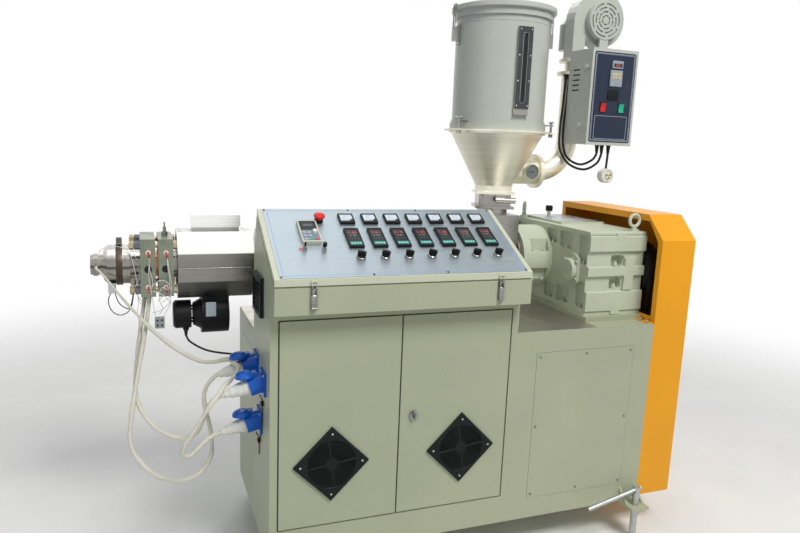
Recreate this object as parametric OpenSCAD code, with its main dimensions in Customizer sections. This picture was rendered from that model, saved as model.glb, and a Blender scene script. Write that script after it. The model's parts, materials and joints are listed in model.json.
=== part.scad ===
/* [Base] */
// Length of the welded base
base_l = 1423; // [1300:1:1700]
// Depth of the base from the door plane to its back
base_d = 650; // [600:1:800]
// Height of the gearbox bed above the underside of the base
base_h = 698; // [650:1:760]
// How much lower the bed lies behind the cabinet
bed_drop = 20; // [10:1:40]
// Height of the rail that runs under the cabinet
rail_h = 70; // [50:1:100]
// Clearance under the base
ground_gap = 130; // [100:1:180]
// Thickness of the screwed cover panels
panel_t = 2; // [1.5:0.5:4]
// Depth of the recess that takes a cover panel
panel_recess = 1.6; // [1:0.2:3]
// Width of the front cover panel
front_panel_w = 412; // [300:1:460]
// Height of the front cover panel
front_panel_h = 544; // [400:1:580]
// Thickness of the stainless top sheet
top_sheet_t = 1.5; // [1:0.5:3]

/* [Levelling jacks] */
// How far a jack plate reaches out from the base
jack_reach = 86; // [70:1:110]
// Width of a jack plate
jack_w = 76; // [60:1:100]
// Thickness of a jack plate
jack_t = 10; // [6:1:16]
// Diameter of a jack screw
jack_screw_d = 24; // [16:1:32]
// Length of the turning bar left in the front right screw
turn_bar_l = 236; // [150:1:300]
// Diameter of the turning bar
turn_bar_d = 16; // [10:1:20]
// How far the turning bar leans from level, in degrees
turn_bar_tilt = 13; // [0:1:20]

/* [Cabinet] */
// Width of the electrical cabinet
cab_w = 845; // [780:1:900]
// Depth of the cabinet
cab_d = 304; // [280:1:330]
// Sheet thickness of the cabinet
sheet = 3; // [2:0.5:5]
// Height of the console's underside above the floor
console_z = 947; // [930:1:990]
// How far the console overhangs the doors
console_reach = 64; // [40:1:90]
// Height of the console's front face
console_h = 80; // [70:1:110]
// Width of the frame beside the doors
frame_w = 24; // [18:1:40]
// Height of the doors
door_h = 688; // [600:1:700]
// Thickness of a door with its folded edge
door_t = 18; // [14:1:24]
// Gap round the doors
door_gap = 5; // [3:0.5:7]

/* [Console lid] */
// Slope of the control panel, in degrees
lid_angle = 28.7; // [20:0.1:35]
// Height of the folded rim of the lid
lid_rim = 20; // [16:1:30]
// Gap between the lid's rim and the console
lid_gap = 7; // [3:1:10]
// Length of the lid down its slope
lid_l = 358; // [330:1:380]
// Distance between two temperature zones on the panel
zone_pitch = 79.1; // [74:0.1:82]
// Number of temperature zones
zones = 7; // [3:1:7]

/* [Door fans] */
// Side of a square fan guard
fan_w = 176; // [150:1:200]
// Distance of each fan from the seam between the doors
fan_off = 226; // [200:1:240]
// Height of the fans above the floor
fan_z = 441; // [400:1:600]
// Number of rings in a fan guard
fan_rings = 5; // [3:1:6]

/* [Barrel] */
// Height of the barrel's axis above the floor
axis_z = 1018; // [1000:1:1060]
// Distance of the barrel's axis behind the door plane
axis_y = 463; // [450:1:480]
// Diameter of the barrel
barrel_d = 100; // [80:1:120]
// Distance across the flats of the octagonal hood
hood_w = 226; // [200:1:240]
// Reach of the front hood beyond the cabinet
hood_reach = 239; // [180:1:300]
// Gap between the two hoods
hood_split = 24; // [15:1:40]
// Sheet thickness of the hoods
hood_t = 2; // [1:0.5:4]

/* [Die] */
// Side of a square die clamp plate
plate_w = 190; // [170:1:210]
// Thickness of a die clamp plate
plate_t = 47; // [30:1:60]
// Gap between the two clamp plates
plate_gap = 9; // [6:1:15]
// Diameter of the die body
die_d = 130; // [110:1:150]
// Length of the die body
die_l = 112; // [90:1:140]
// Diameter of the nozzle
nozzle_d = 66; // [50:1:80]
// Length of the nozzle
nozzle_l = 40; // [30:1:60]
// Bore of the nozzle
nozzle_bore = 24; // [16:1:30]

/* [Gearbox] */
// Width of the gearbox along the machine
gear_w = 253; // [230:1:256]
// Length of the gearbox across the machine
gear_l = 545; // [520:1:550]
// Height of the gearbox on its plinth
gear_h = 314; // [290:1:340]
// Height of the plinth
plinth_h = 17; // [10:1:25]
// Depth of the cast pockets
pocket_depth = 14; // [8:1:30]
// Outer diameter of the bell housing
bell_d = 250; // [230:1:270]
// Length of the bell housing
bell_l = 128; // [110:1:140]

/* [Belt guard] */
// Width of the belt guard
guard_w = 152; // [130:1:180]
// Height of the guard's top above the floor
guard_z = 1226; // [1200:1:1260]
// Side of the chamfer at the guard's front corner
guard_chamfer = 88; // [60:1:120]
// Sheet thickness of the guard
guard_t = 2.5; // [2:0.5:4]
// Diameter of the large pulley
pulley_d = 300; // [240:1:320]

/* [Hopper] */
// Inner diameter of the hopper's cylinder
hopper_d = 350; // [330:1:380]
// Height of the hopper's cylinder
hopper_h = 410; // [350:1:450]
// Height of the cone
cone_h = 199; // [180:1:220]
// Diameter at the cone's bottom
cone_d = 146; // [130:1:155]
// Sheet thickness of the hopper
hopper_t = 3; // [2:0.5:4]
// Distance of the hopper's axis behind the gearbox face
hopper_back = 218; // [205:1:225]

/* [Dryer] */
// Width of the dryer's control box
box_w = 206; // [190:1:220]
// Depth of the control box
box_d = 148; // [135:1:155]
// Height of the control box
box_h = 354; // [330:1:380]
// Diameter of the hot-air duct
duct_d = 80; // [70:1:90]

/* [Hidden] */
$fn = 48;

// Colours
paint = [0.73, 0.76, 0.66];
cast_paint = [0.75, 0.78, 0.69];
cream = [0.88, 0.87, 0.78];
steel = [0.72, 0.72, 0.70];
dark = [0.10, 0.10, 0.11];
white = [0.90, 0.91, 0.90];
orange = [0.95, 0.62, 0.05];
blue = [0.05, 0.25, 0.75];
zinc = [0.55, 0.58, 0.46];

// Clearances
fit = 0.3;

// The chain of lengths from the nozzle to the cabinet's left side
barrel_end_gap = 13;
die_reach = hood_reach + barrel_end_gap + 2 * plate_t + plate_gap + die_l + nozzle_l;
machine_l = die_reach + base_l + guard_w;
x_cab = -machine_l / 2 + die_reach;
y_door = -base_d / 2;

// Heights of the base and the cabinet
bed_z = ground_gap + base_h;
low_bed_z = bed_z - bed_drop;
cab_z = ground_gap + rail_h;
door_z = cab_z + 30;
door_w = (cab_w - 2 * frame_w - 3 * door_gap) / 2;
seam_x = cab_w / 2;

// The console's sloping top and the lid on it
lid_run = lid_l * cos(lid_angle);
lid_rise = lid_l * sin(lid_angle);
box_z = console_z + console_h;
lip_z = box_z + lid_gap;
lid_z = lip_z + lid_rim;
shoulder_run = lid_run + 6;
shoulder_h = 52;
hinge_y = lid_run - console_reach;
hinge_z = lip_z + lid_rise;

// Places on the control panel: across, and up the slope
zone_margin = 89.4;
zone_x = cab_w - zone_margin - (zones - 1) * zone_pitch;
meter_s = 292;
controller_s = 188;
selector_s = 92;
plate_margin = 16;
plate_t2 = 1.5;
plate_seat = 0.1;
face_n = plate_seat + plate_t2 + 0.05;
meter_w = 50;
controller_w = 48;
controller_l = 96;
stop_x = 187;
stop_s = 285;
keypad_x = 143;
keypad_s = 221;
keypad_w = 63;
keypad_l = 114;
knob_s = 137;
knob_xs = [113, 174];

// Hood and barrel
barrel_x = -hood_reach - barrel_end_gap;
gear_over = 13;
gear_x = base_l + gear_over - gear_w;
gear_y = 99;
gear_z = bed_z + plinth_h;
bell_x = gear_x - bell_l;
input_y = 195;
input_z = axis_z - 10;
hop_x = gear_x - hopper_back;
throat_l = 165;
throat_w = 160;
throat_drop = 90;
throat_x = hop_x - throat_l / 2 - 2.5;
hood_throat_gap = 40;
hood_rear_l = throat_x - hood_throat_gap;
hop_y = axis_y;
wall_d = hopper_d + 2 * hopper_t;
lid_rim_d = hopper_d + 46;

// Heights up the hopper, all of them from the throat's top
throat_top = 1190;
neck_h = 50;
gate_z = throat_top + 22 + neck_h;
gate_t = 8;
cone_z = gate_z + gate_t + 32;
inlet_z = throat_top + 171;
stub_l = 175;
bend_r = 134;
flange_t2 = 8;
duct_x = hop_x + stub_l + 2 * flange_t2 + bend_r;
box_gap = 6;
riser_gap = 1.5;
box_x = duct_x - duct_d / 2 - 4.5;
box_back = hop_y - duct_d / 2 - box_gap;
box_y = box_back - box_d;
box_z0 = throat_top + 285.6;
collar_z = throat_top + 555;
collar_t = 12;
outlet_z = throat_top + 617;
volute_r = 100;
volute_grow = 24;
outlet_w = 56;
blower_x = duct_x + volute_r + volute_grow - outlet_w / 2;
blower_z = throat_top + 769;
volute_t = 60;

// Places children at a point measured from the cabinet's left side, the door plane and the floor
module at(x = 0, y = 0, z = 0) {
  translate([x_cab + x, y_door + y, z]) children();
}

// Places children on the lid, x across and s up the slope, with z out of its face
module on_lid(x = 0, s = 0) {
  at(0, -console_reach, lid_z) rotate([lid_angle, 0, 0]) translate([x, s, 0]) children();
}

// A cylinder along X whose end lies at the origin
module rod_x(d, l) {
  rotate([0, 90, 0]) cylinder(d = d, h = l);
}

// A cylinder along Y whose end lies at the origin
module rod_y(d, l) {
  rotate([-90, 0, 0]) cylinder(d = d, h = l);
}

// A tube along Z
module tube(outer, inner, h) {
  difference() {
    cylinder(d = outer, h = h);
    translate([0, 0, -1]) cylinder(d = inner, h = h + 2);
  }
}

// A profile in Y and Z, pulled along X
module along_x(l) {
  rotate([90, 0, 90]) linear_extrude(height = l) children();
}

// A regular octagon with a flat on top
module octagon(w) {
  r = w / 2 / cos(22.5);
  polygon([for (i = [0:7]) [r * cos(22.5 + 45 * i), r * sin(22.5 + 45 * i)]]);
}

// A hexagon head along Z
module hex(d, h) {
  cylinder(d = d, h = h, $fn = 6);
}

// The base, with its rail, beds, jack plates and plinth
module jack_plate() {
  difference() {
    union() {
      cube([jack_w, jack_reach, jack_t]);
      for (gx = [0, jack_w - 8])
        translate([gx, 0, jack_t])
          rotate([90, 0, 90]) linear_extrude(height = 8) polygon([[0, 0], [jack_reach - 30, 0], [0, 50]]);
    }
    translate([jack_w / 2, screw_y, -1]) cylinder(d = jack_screw_d + 2 * fit, h = jack_t + 2);
  }
}

jack_x = [30, base_l - jack_w - 10];
module at_jacks() {
  for (jx = jack_x) {
    at(jx, base_d, ground_gap) children();
    at(jx + jack_w, 0, ground_gap) rotate([0, 0, 180]) children();
  }
}

front_panel_x = cab_w + (base_l - cab_w - front_panel_w) / 2;
front_panel_z = ground_gap + (base_h - front_panel_h) / 2;
end_panel_w = base_d - cab_d - 80;
end_panel_h = base_h - bed_drop - 150;
end_panel_y = cab_d + 40;
end_panel_z = ground_gap + 75;

module base_frame() color(paint) {
  difference() {
    union() {
      at(0, 0, ground_gap) cube([base_l, base_d, rail_h]);
      at(0, cab_d, ground_gap) cube([base_l, base_d - cab_d, base_h - bed_drop]);
      at(cab_w, 0, ground_gap) cube([base_l - cab_w, base_d, base_h]);
      at(gear_x - 8, gear_y - 20, bed_z) cube([base_l - gear_x + 8, base_d - gear_y + 20, plinth_h]);
      at_jacks() jack_plate();
    }
    at(front_panel_x - 1, -1, front_panel_z - 1)
      cube([front_panel_w + 2, 1 + panel_recess, front_panel_h + 2]);
    at(-1, end_panel_y - 1, end_panel_z - 1)
      cube([1 + panel_recess, end_panel_w + 2, end_panel_h + 2]);
  }
}

module base_panels() color(paint) {
  at(front_panel_x, panel_recess - panel_t, front_panel_z) cube([front_panel_w, panel_t, front_panel_h]);
  at(panel_recess - panel_t, end_panel_y, end_panel_z) cube([panel_t, end_panel_w, end_panel_h]);
}

module base_top_sheet() color(steel) {
  at(cab_w, 2, bed_z) cube([gear_x - 8 - cab_w, base_d - 4, top_sheet_t]);
  at(2, cab_d, low_bed_z) cube([cab_w - 2, base_d - cab_d - 2, top_sheet_t]);
}

// Levelling screws, each with a nut under its plate and a round foot on the floor
screw_y = jack_reach - 32;
bar_hole_z = ground_gap + jack_t + 62;
module turning_bar(d, l) {
  rotate([0, 270 - turn_bar_tilt, 0]) translate([0, 0, -18]) cylinder(d = d, h = l);
}

module jack_screw() {
  foot_h = 12;
  difference() {
    union() {
      cylinder(d1 = 66, d2 = 46, h = foot_h);
      cylinder(d = jack_screw_d, h = ground_gap + jack_t + 72);
      translate([0, 0, ground_gap - 18]) hex(36, 18);
    }
    translate([0, 0, bar_hole_z]) translate([18, 0, 0]) turning_bar(turn_bar_d + 2 * fit, 80);
  }
}

module jack_screws() color(steel) {
  for (jx = jack_x, jy = [-screw_y, base_d + screw_y]) at(jx + jack_w / 2, jy, 0) jack_screw();
  at(jack_x[1] + jack_w / 2, -screw_y, bar_hole_z) turning_bar(turn_bar_d, turn_bar_l);
}

// The cabinet: one sheet housing for the doors below and the console above
module cabinet_profile(inset = 0) {
  drop = inset / cos(lid_angle);
  front = inset;
  back = shoulder_run - inset;
  polygon([
    [inset, cab_z + inset], [inset, console_z + inset],
    [front - console_reach, console_z + inset],
    [front - console_reach, box_z + front * tan(lid_angle) - drop],
    [back - console_reach, box_z + back * tan(lid_angle) - drop],
    [cab_d - inset, box_z + shoulder_h - inset],
    [cab_d - inset, cab_z + inset]
  ]);
}

side_vent_y = 187;
side_vent_z = 961;
side_vent_w = 150;
side_vent_h = 126;

module cabinet_shell() color(paint) {
  difference() {
    union() {
      at(0) along_x(cab_w) cabinet_profile();
      // The upstand inside the lid's rim
      at(lid_inset) along_x(cab_w - 2 * lid_inset) upstand_profile();
    }
    at(sheet) along_x(cab_w - 2 * sheet) cabinet_profile(inset = sheet);
    at(lid_inset + sheet) along_x(cab_w - 2 * lid_inset - 2 * sheet) well_profile();
    // The doorway, inside the stop that the doors close on
    at(frame_w + stop_w, -1, door_z + stop_w)
      cube([cab_w - 2 * frame_w - 2 * stop_w, door_t + 40, door_h - 2 * stop_w]);
    at(frame_w, -1, door_z) cube([cab_w - 2 * frame_w, 1 + sheet + 0.1, door_h]);
    // The hole behind the side vent
    at(-1, side_vent_y - side_vent_w / 2 + 12, side_vent_z - side_vent_h / 2 + 12)
      cube([sheet + 2, side_vent_w - 24, side_vent_h - 24]);
  }
  // The stop frame behind the doors
  at(frame_w - 12, door_t + fit, door_z - 12) difference() {
    cube([cab_w - 2 * frame_w + 24, sheet, door_h + 24]);
    translate([12 + stop_w, -1, 12 + stop_w])
      cube([cab_w - 2 * frame_w - 2 * stop_w, sheet + 2, door_h - 2 * stop_w]);
  }
  at(frame_w - 12, sheet, door_z - 12) difference() {
    cube([cab_w - 2 * frame_w + 24, door_t + fit - sheet, door_h + 24]);
    translate([12, -1, 12]) cube([cab_w - 2 * frame_w, door_t + 2, door_h]);
  }
}

stop_w = 14;
lid_inset = 6;
upstand_top = lid_rim + lid_gap - sheet - fit;
module upstand_profile() {
  polygon([
    [-console_reach + lid_inset, box_z - sheet],
    [-console_reach + lid_inset, box_z + lid_inset * tan(lid_angle) + upstand_top],
    [hinge_y - lid_inset, box_z + (lid_run - lid_inset) * tan(lid_angle) + upstand_top],
    [hinge_y - lid_inset, box_z + (lid_run - lid_inset) * tan(lid_angle) - sheet]
  ]);
}

module well_profile() {
  in = lid_inset + sheet;
  polygon([
    [-console_reach + in, console_z + 30],
    [-console_reach + in, box_z + in * tan(lid_angle) + 60],
    [hinge_y - in, box_z + (lid_run - in) * tan(lid_angle) + 60],
    [hinge_y - in, console_z + 30]
  ]);
}

// Doors: folded sheets hung at their outer edges
module door_leaf() {
  leaf_h = door_h - 2 * door_gap;
  difference() {
    cube([door_w, door_t, leaf_h]);
    translate([sheet, sheet, sheet]) cube([door_w - 2 * sheet, door_t, leaf_h - 2 * sheet]);
  }
}

module fan_cutout(x) {
  at(x, -1, fan_z) rotate([0, 45, 0])
    translate([-fan_w / 2 + 8, 0, -fan_w / 2 + 8]) cube([fan_w - 16, sheet + 2, fan_w - 16]);
}

door_left_x = frame_w + door_gap;
door_right_x = door_left_x + door_w + door_gap;
lock_x = door_right_x + 46;
lock_z = 575;

module door_left() color(paint) difference() {
  at(door_left_x, 0, door_z + door_gap) door_leaf();
  fan_cutout(seam_x - fan_off);
}

module door_right() color(paint) difference() {
  at(door_right_x, 0, door_z + door_gap) door_leaf();
  fan_cutout(seam_x + fan_off);
  at(lock_x, -1, lock_z) rod_y(22 + 2 * fit, sheet + 2);
}

// A square fan guard turned on its corner, with rings, spokes and the fan's frame behind
module ring_guard(w, t, rings) {
  hub = w * 0.24;
  step = (w * 0.9 - hub) / 2 / (rings + 0.5);
  rotate([90, 0, 0]) {
    difference() {
      translate([-w / 2, -w / 2, 0]) cube([w, w, t]);
      translate([0, 0, -1]) cylinder(d = w * 0.9, h = t + 2);
    }
    cylinder(d = hub, h = t);
    for (i = [1:rings])
      tube(hub + 2 * step * i + step * 0.9, hub + 2 * step * i, t * 0.8);
    for (a = [45:90:315])
      rotate([0, 0, a]) translate([hub / 2 - 1, -3, 0]) cube([w * 0.45 - hub / 2 + 2, 6, t * 0.8]);
  }
}

module fan_body(w, depth) {
  rotate([-90, 0, 0]) {
    difference() {
      translate([-w / 2, -w / 2, 0]) cube([w, w, depth]);
      translate([0, 0, -1]) cylinder(d = w * 0.94, h = depth - 3);
    }
    cylinder(d = w * 0.36, h = depth - 3);
  }
}

module fan_guard(x) color(dark) {
  at(x, 0, fan_z) rotate([0, 45, 0]) {
    ring_guard(fan_w, 9, fan_rings);
    fan_body(fan_w - 18, 48);
  }
}

module fan_guard_left() fan_guard(seam_x - fan_off);
module fan_guard_right() fan_guard(seam_x + fan_off);

module door_lock() color(steel) {
  at(lock_x, -8, lock_z) rod_y(30, 8);
  at(lock_x, 0, lock_z) rod_y(22, 14);
  at(lock_x - 2, -24, lock_z - 9) cube([4, 16, 18]);
}

vent_t = 12;
vent_rim = 14;
vent_slats = 7;
module side_vent() color(dark) {
  slat_pitch = (side_vent_h - 2 * vent_rim) / vent_slats;
  at(0, side_vent_y, side_vent_z) rotate([0, 0, 90]) {
    difference() {
      translate([-side_vent_w / 2, 0, -side_vent_h / 2]) cube([side_vent_w, vent_t, side_vent_h]);
      translate([-side_vent_w / 2 + vent_rim, -1, -side_vent_h / 2 + vent_rim])
        cube([side_vent_w - 2 * vent_rim, vent_t + 2, side_vent_h - 2 * vent_rim]);
    }
    for (i = [0:vent_slats - 1])
      translate([-side_vent_w / 2 + 8, 3, -side_vent_h / 2 + vent_rim + 4 + i * slat_pitch])
        cube([side_vent_w - 16, 6, slat_pitch * 0.45]);
  }
}

// The panel's cut-outs, shared by the lid and the plate on it
module panel_cutouts(t) {
  for (i = [0:zones - 1]) {
    x = zone_x + i * zone_pitch;
    translate([x - meter_w / 2 + 3, meter_s - meter_w / 2 + 3, -t])
      cube([meter_w - 6, meter_w - 6, 2 * t]);
    translate([x - controller_w / 2 + 2, controller_s - controller_l / 2 + 2, -t])
      cube([controller_w - 4, controller_l - 4, 2 * t]);
    translate([x, selector_s, -t]) cylinder(d = 22.5, h = 2 * t);
  }
  translate([stop_x, stop_s, -t]) cylinder(d = 22.5, h = 2 * t);
  for (kx = knob_xs) translate([kx, knob_s, -t]) cylinder(d = 12.5, h = 2 * t);
  translate([keypad_x - keypad_w / 2 + 5, keypad_s - keypad_l / 2 + 5, -t])
    cube([keypad_w - 10, keypad_l - 10, 2 * t]);
}

module lid_profile(inset = 0) {
  polygon([
    [inset, inset * tan(lid_angle) - lid_rim - (inset > 0 ? 40 : 0)],
    [inset, inset * tan(lid_angle) - (inset > 0 ? sheet : 0)],
    [lid_run - inset, (lid_run - inset) * tan(lid_angle) - (inset > 0 ? sheet : 0)],
    [lid_run - inset, (lid_run - inset) * tan(lid_angle) - lid_rim - (inset > 0 ? 40 : 0)]
  ]);
}

module console_lid() color(cream) {
  difference() {
    at(0, -console_reach, lid_z) along_x(cab_w) lid_profile();
    at(sheet, -console_reach, lid_z) along_x(cab_w - 2 * sheet) lid_profile(inset = sheet);
    on_lid() panel_cutouts(12);
  }
  for (lx = latch_xs) at(lx, -console_reach, lip_z + 2) keeper();
}

module panel_plate() color([0.70, 0.73, 0.78]) difference() {
  on_lid(plate_margin, 4) translate([0, 0, plate_seat])
    cube([cab_w - 2 * plate_margin, lid_l - 8, plate_t2]);
  on_lid() panel_cutouts(12);
}

module panel_meters() color(dark) {
  for (i = [0:zones - 1])
    on_lid(zone_x + i * zone_pitch, meter_s) translate([0, 0, face_n]) {
      difference() {
        translate([-meter_w / 2, -meter_w / 2, 0]) cube([meter_w, meter_w, 9]);
        translate([-meter_w / 2 + 4, -meter_w / 2 + 10, 7]) cube([meter_w - 8, meter_w - 14, 3]);
      }
      translate([-meter_w / 2 + 3 + fit, -meter_w / 2 + 3 + fit, -35])
        cube([meter_w - 6 - 2 * fit, meter_w - 6 - 2 * fit, 35]);
    }
}

module temperature_controllers() color(dark) {
  for (i = [0:zones - 1])
    on_lid(zone_x + i * zone_pitch, controller_s) translate([0, 0, face_n]) {
      difference() {
        translate([-controller_w / 2, -controller_l / 2, 0]) cube([controller_w, controller_l, 9]);
        translate([-controller_w / 2 + 4, -controller_l / 2 + 8, 7.5])
          cube([controller_w - 8, controller_l - 16, 3]);
      }
      translate([-controller_w / 2 + 2 + fit, -controller_l / 2 + 2 + fit, -60])
        cube([controller_w - 4 - 2 * fit, controller_l - 4 - 2 * fit, 60]);
    }
}

module selector_switches() color(dark) {
  for (i = [0:zones - 1])
    on_lid(zone_x + i * zone_pitch, selector_s) translate([0, 0, face_n]) {
      cylinder(d = 29, h = 6);
      cylinder(d = 23, h = 12);
      translate([-11, -3.5, 12]) cube([22, 7, 12]);
      translate([0, 0, -30]) cylinder(d = 22.5 - 2 * fit, h = 30);
    }
}

module panel_controls() {
  color("red") on_lid(stop_x, stop_s) translate([0, 0, face_n]) {
    translate([0, 0, -30]) cylinder(d = 22.5 - 2 * fit, h = 30);
    cylinder(d = 29, h = 8);
    translate([0, 0, 8]) cylinder(d = 20, h = 10);
    translate([0, 0, 18]) cylinder(d1 = 36, d2 = 34, h = 10);
  }
  color(cream) on_lid(keypad_x, keypad_s) translate([0, 0, face_n]) {
    difference() {
      translate([-keypad_w / 2, -keypad_l / 2, 0]) cube([keypad_w, keypad_l, 12]);
      translate([-keypad_w / 2 + 5, -keypad_l / 2 + 5, 9]) cube([keypad_w - 10, keypad_l - 10, 4]);
    }
    translate([-keypad_w / 2 + 5 + fit, -keypad_l / 2 + 5 + fit, -30])
      cube([keypad_w - 10 - 2 * fit, keypad_l - 10 - 2 * fit, 30]);
  }
  color(steel) for (kx = knob_xs) on_lid(kx, knob_s) translate([0, 0, face_n]) {
    cylinder(d = 18, h = 5);
    cylinder(d = 11, h = 16);
    translate([0, 0, -20]) cylinder(d = 12.5 - 2 * fit, h = 20);
  }
}

// Draw latches on the console's front, under the keepers on the lid
latch_xs = [115, cab_w - 115];
latch_w = 18;
latch_l = 62;
module console_latches() color(steel) {
  for (lx = latch_xs) at(lx, -console_reach, box_z - latch_l - 2) {
    translate([-latch_w / 2 - 2, -2, 0]) cube([latch_w + 4, 2, latch_l]);
    translate([-latch_w / 2, -8, 6]) cube([latch_w, 6, latch_l - 22]);
    translate([-latch_w / 2, -11, 4]) cube([latch_w, 4, 12]);
    for (e = [-1, 1]) translate([e * (latch_w / 2 - 1.5) - 1.5, -7, latch_l - 18]) cube([3, 3, 18]);
    translate([-latch_w / 2, -7, latch_l - 4]) cube([latch_w, 4, 4]);
  }
}

module keeper() {
  translate([-latch_w / 2 - 1, -2, 0]) cube([latch_w + 2, 2, 14]);
  difference() {
    translate([-latch_w / 2, -8, 0]) cube([latch_w, 7, 13]);
    translate([-latch_w / 2 + 3, -9, 3]) cube([latch_w - 6, 5, 7]);
  }
}

// Sockets on the cabinet's left side, with their spring lids propped on the plugs
sockets = [[235, 716], [95, 697], [163, 546]];
socket_flange = 75;
flange_t = 8;
socket_d = 62;
socket_l = 42;
socket_tilt = 15;
plug_d = 48;
plug_l = 96;
plug_seat = 14;
lid_seat = 16;
lid_lift = 9;
cap_d = 60;

// Places children on a socket's sloping axis, with z out of it and down
module at_socket(s) {
  at(-flange_t, s[0], s[1]) rotate([0, 270 - socket_tilt, 0]) children();
}

module socket(s) {
  difference() {
    union() {
      at(-flange_t, s[0] - socket_flange / 2, s[1] - socket_flange / 2)
        cube([flange_t, socket_flange, socket_flange]);
      at_socket(s) translate([0, 0, -flange_t]) cylinder(d = socket_d, h = flange_t + plug_seat);
      at_socket(s) tube(socket_d, plug_d + 2, socket_l);
    }
    at(0, s[0] - socket_flange, s[1] - socket_flange) cube(2 * socket_flange);
  }
  // The domed spring lid, held up by the plug
  at_socket(s) translate([socket_d / 2 - 1, 0, lid_seat]) rotate([0, lid_lift, 0]) {
    translate([-3, -12, -6]) cube([16, 24, 14]);
    translate([0, 0, cap_d / 2]) rotate([0, 90, 0]) rotate_extrude()
      polygon([[0, 0], [cap_d / 2, 0], [cap_d / 2, 4], [cap_d * 0.44, 11], [cap_d * 0.26, 17], [0, 19]]);
  }
}

module heater_sockets() color(blue) {
  for (s = sockets) socket(s);
}

// Barrel, hoods and cooling
module barrel() color(steel) {
  at(barrel_x, axis_y, axis_z) difference() {
    rod_x(barrel_d, throat_x - barrel_x);
    translate([-1, 0, 0]) rod_x(45, throat_x - barrel_x + 2);
  }
}

module hood(l) {
  along_x(l) difference() {
    octagon(hood_w);
    octagon(hood_w - 2 * hood_t);
  }
  for (e = [0, l - hood_t]) translate([e, 0, 0]) along_x(hood_t) difference() {
    octagon(hood_w - hood_t);
    circle(d = barrel_d + 2 * fit);
  }
}

hood_front_l = hood_reach + 10;
seam_h = 2.5;
module barrel_hood() color(steel) {
  at(-hood_reach, axis_y, axis_z) hood(hood_front_l);
  // The folded seam along the front face
  at(-hood_reach, axis_y - hood_w / 2 - seam_h, axis_z - 3) cube([hood_front_l, seam_h + 1, 5]);
  at(10 + hood_split, axis_y, axis_z) hood(hood_rear_l - hood_split - 10);
}

vent_x = -190;
vent_l = 160;
vent_top = 1187;
module hood_vent() color(steel) {
  hood_top = axis_z + hood_w / 2;
  at(vent_x + 4, axis_y - 42, hood_top) cube([vent_l - 8, 84, 18]);
  at(vent_x, axis_y - 48, hood_top + 18) cube([vent_l, 96, vent_top - hood_top - 18]);
}

// The fan under the hood: a drum with its outlet up, and its motor on a thin neck
blower_top = axis_z - hood_w / 2;
drum_d = 136;
drum_l = 91;
drum_x = -160;
fan_motor_d = 98;
fan_motor_l = 53;
fan_motor_x = -247;
fan_gland = [-212, axis_y - 20, 787];
module cooling_blower() color(dark) {
  drum_z = blower_top - drum_d / 2;
  at(drum_x, axis_y, drum_z) {
    rod_x(drum_d, drum_l);
    translate([0, -drum_l / 2, 0]) cube([drum_l, drum_l, drum_d / 2]);
    translate([-27, 0, 0]) rotate([0, 90, 0])
      cylinder(d1 = fan_motor_d * 0.8, d2 = fan_motor_d * 1.1, h = 27);
    for (a = [45:90:315]) rotate([a, 0, 0]) translate([-36, 0, fan_motor_d * 0.32]) rod_x(8, 12);
  }
  at(fan_motor_x, axis_y, drum_z) {
    rod_x(fan_motor_d, fan_motor_l);
    translate([-6, 0, 0]) rotate([0, 90, 0])
      cylinder(d1 = fan_motor_d * 0.84, d2 = fan_motor_d * 0.96, h = 6);
  }
  at(fan_gland[0], fan_gland[1], fan_gland[2]) cylinder(d = 20, h = 16);
}

support_xs = [60, 640];
support_foot = [50, 120, 14];
module barrel_support() color(paint) {
  foot_z = low_bed_z + top_sheet_t;
  for (sx = support_xs) {
    at(sx, axis_y - support_foot[1] / 2, foot_z) cube(support_foot);
    at(sx + 18, axis_y - 45, foot_z + support_foot[2]) cube([14, 90, blower_top - foot_z - support_foot[2]]);
  }
}

// Die: two clamp plates, their bolts, and the head with its nozzle
plate_b_x = -hood_reach - barrel_end_gap - plate_t;
plate_a_x = plate_b_x - plate_gap - plate_t;
bolt_off = 74;
bolt_d = 18;

module clamp_plate() {
  difference() {
    translate([0, -plate_w / 2, -plate_w / 2]) cube([plate_t, plate_w, plate_w]);
    translate([-1, 0, 0]) rod_x(60, plate_t + 2);
    for (y = [-bolt_off, bolt_off], z = [-bolt_off, bolt_off])
      translate([-1, y, z]) rod_x(bolt_d + 2 * fit, plate_t + 2);
    translate([plate_t / 2, -plate_w / 2 - 1, 0]) rod_y(18, 30);
  }
}

module die_clamp_plates() color(zinc) {
  for (x = [plate_a_x, plate_b_x]) at(x, axis_y, axis_z) clamp_plate();
  // The sensor's screw on top of the right plate
  at(plate_b_x + plate_t / 2, axis_y, axis_z + plate_w / 2) {
    cylinder(d = 20, h = 14);
    cylinder(d = 11, h = 30);
    cylinder(d = 5, h = 46);
  }
}

module die_bolts() color(steel) {
  stack = 2 * plate_t + plate_gap;
  for (y = [-bolt_off, bolt_off], z = [-bolt_off, bolt_off])
    at(plate_a_x, axis_y + y, axis_z + z) {
      translate([-34, 0, 0]) rod_x(bolt_d, stack + 34);
      for (n = [-17, -34 + 2]) translate([n, 0, 0]) rotate([0, 90, 0]) hex(30, n == -17 ? 17 : 13);
      translate([stack, 0, 0]) rotate([0, 90, 0]) hex(30, 11);
    }
}

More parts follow.
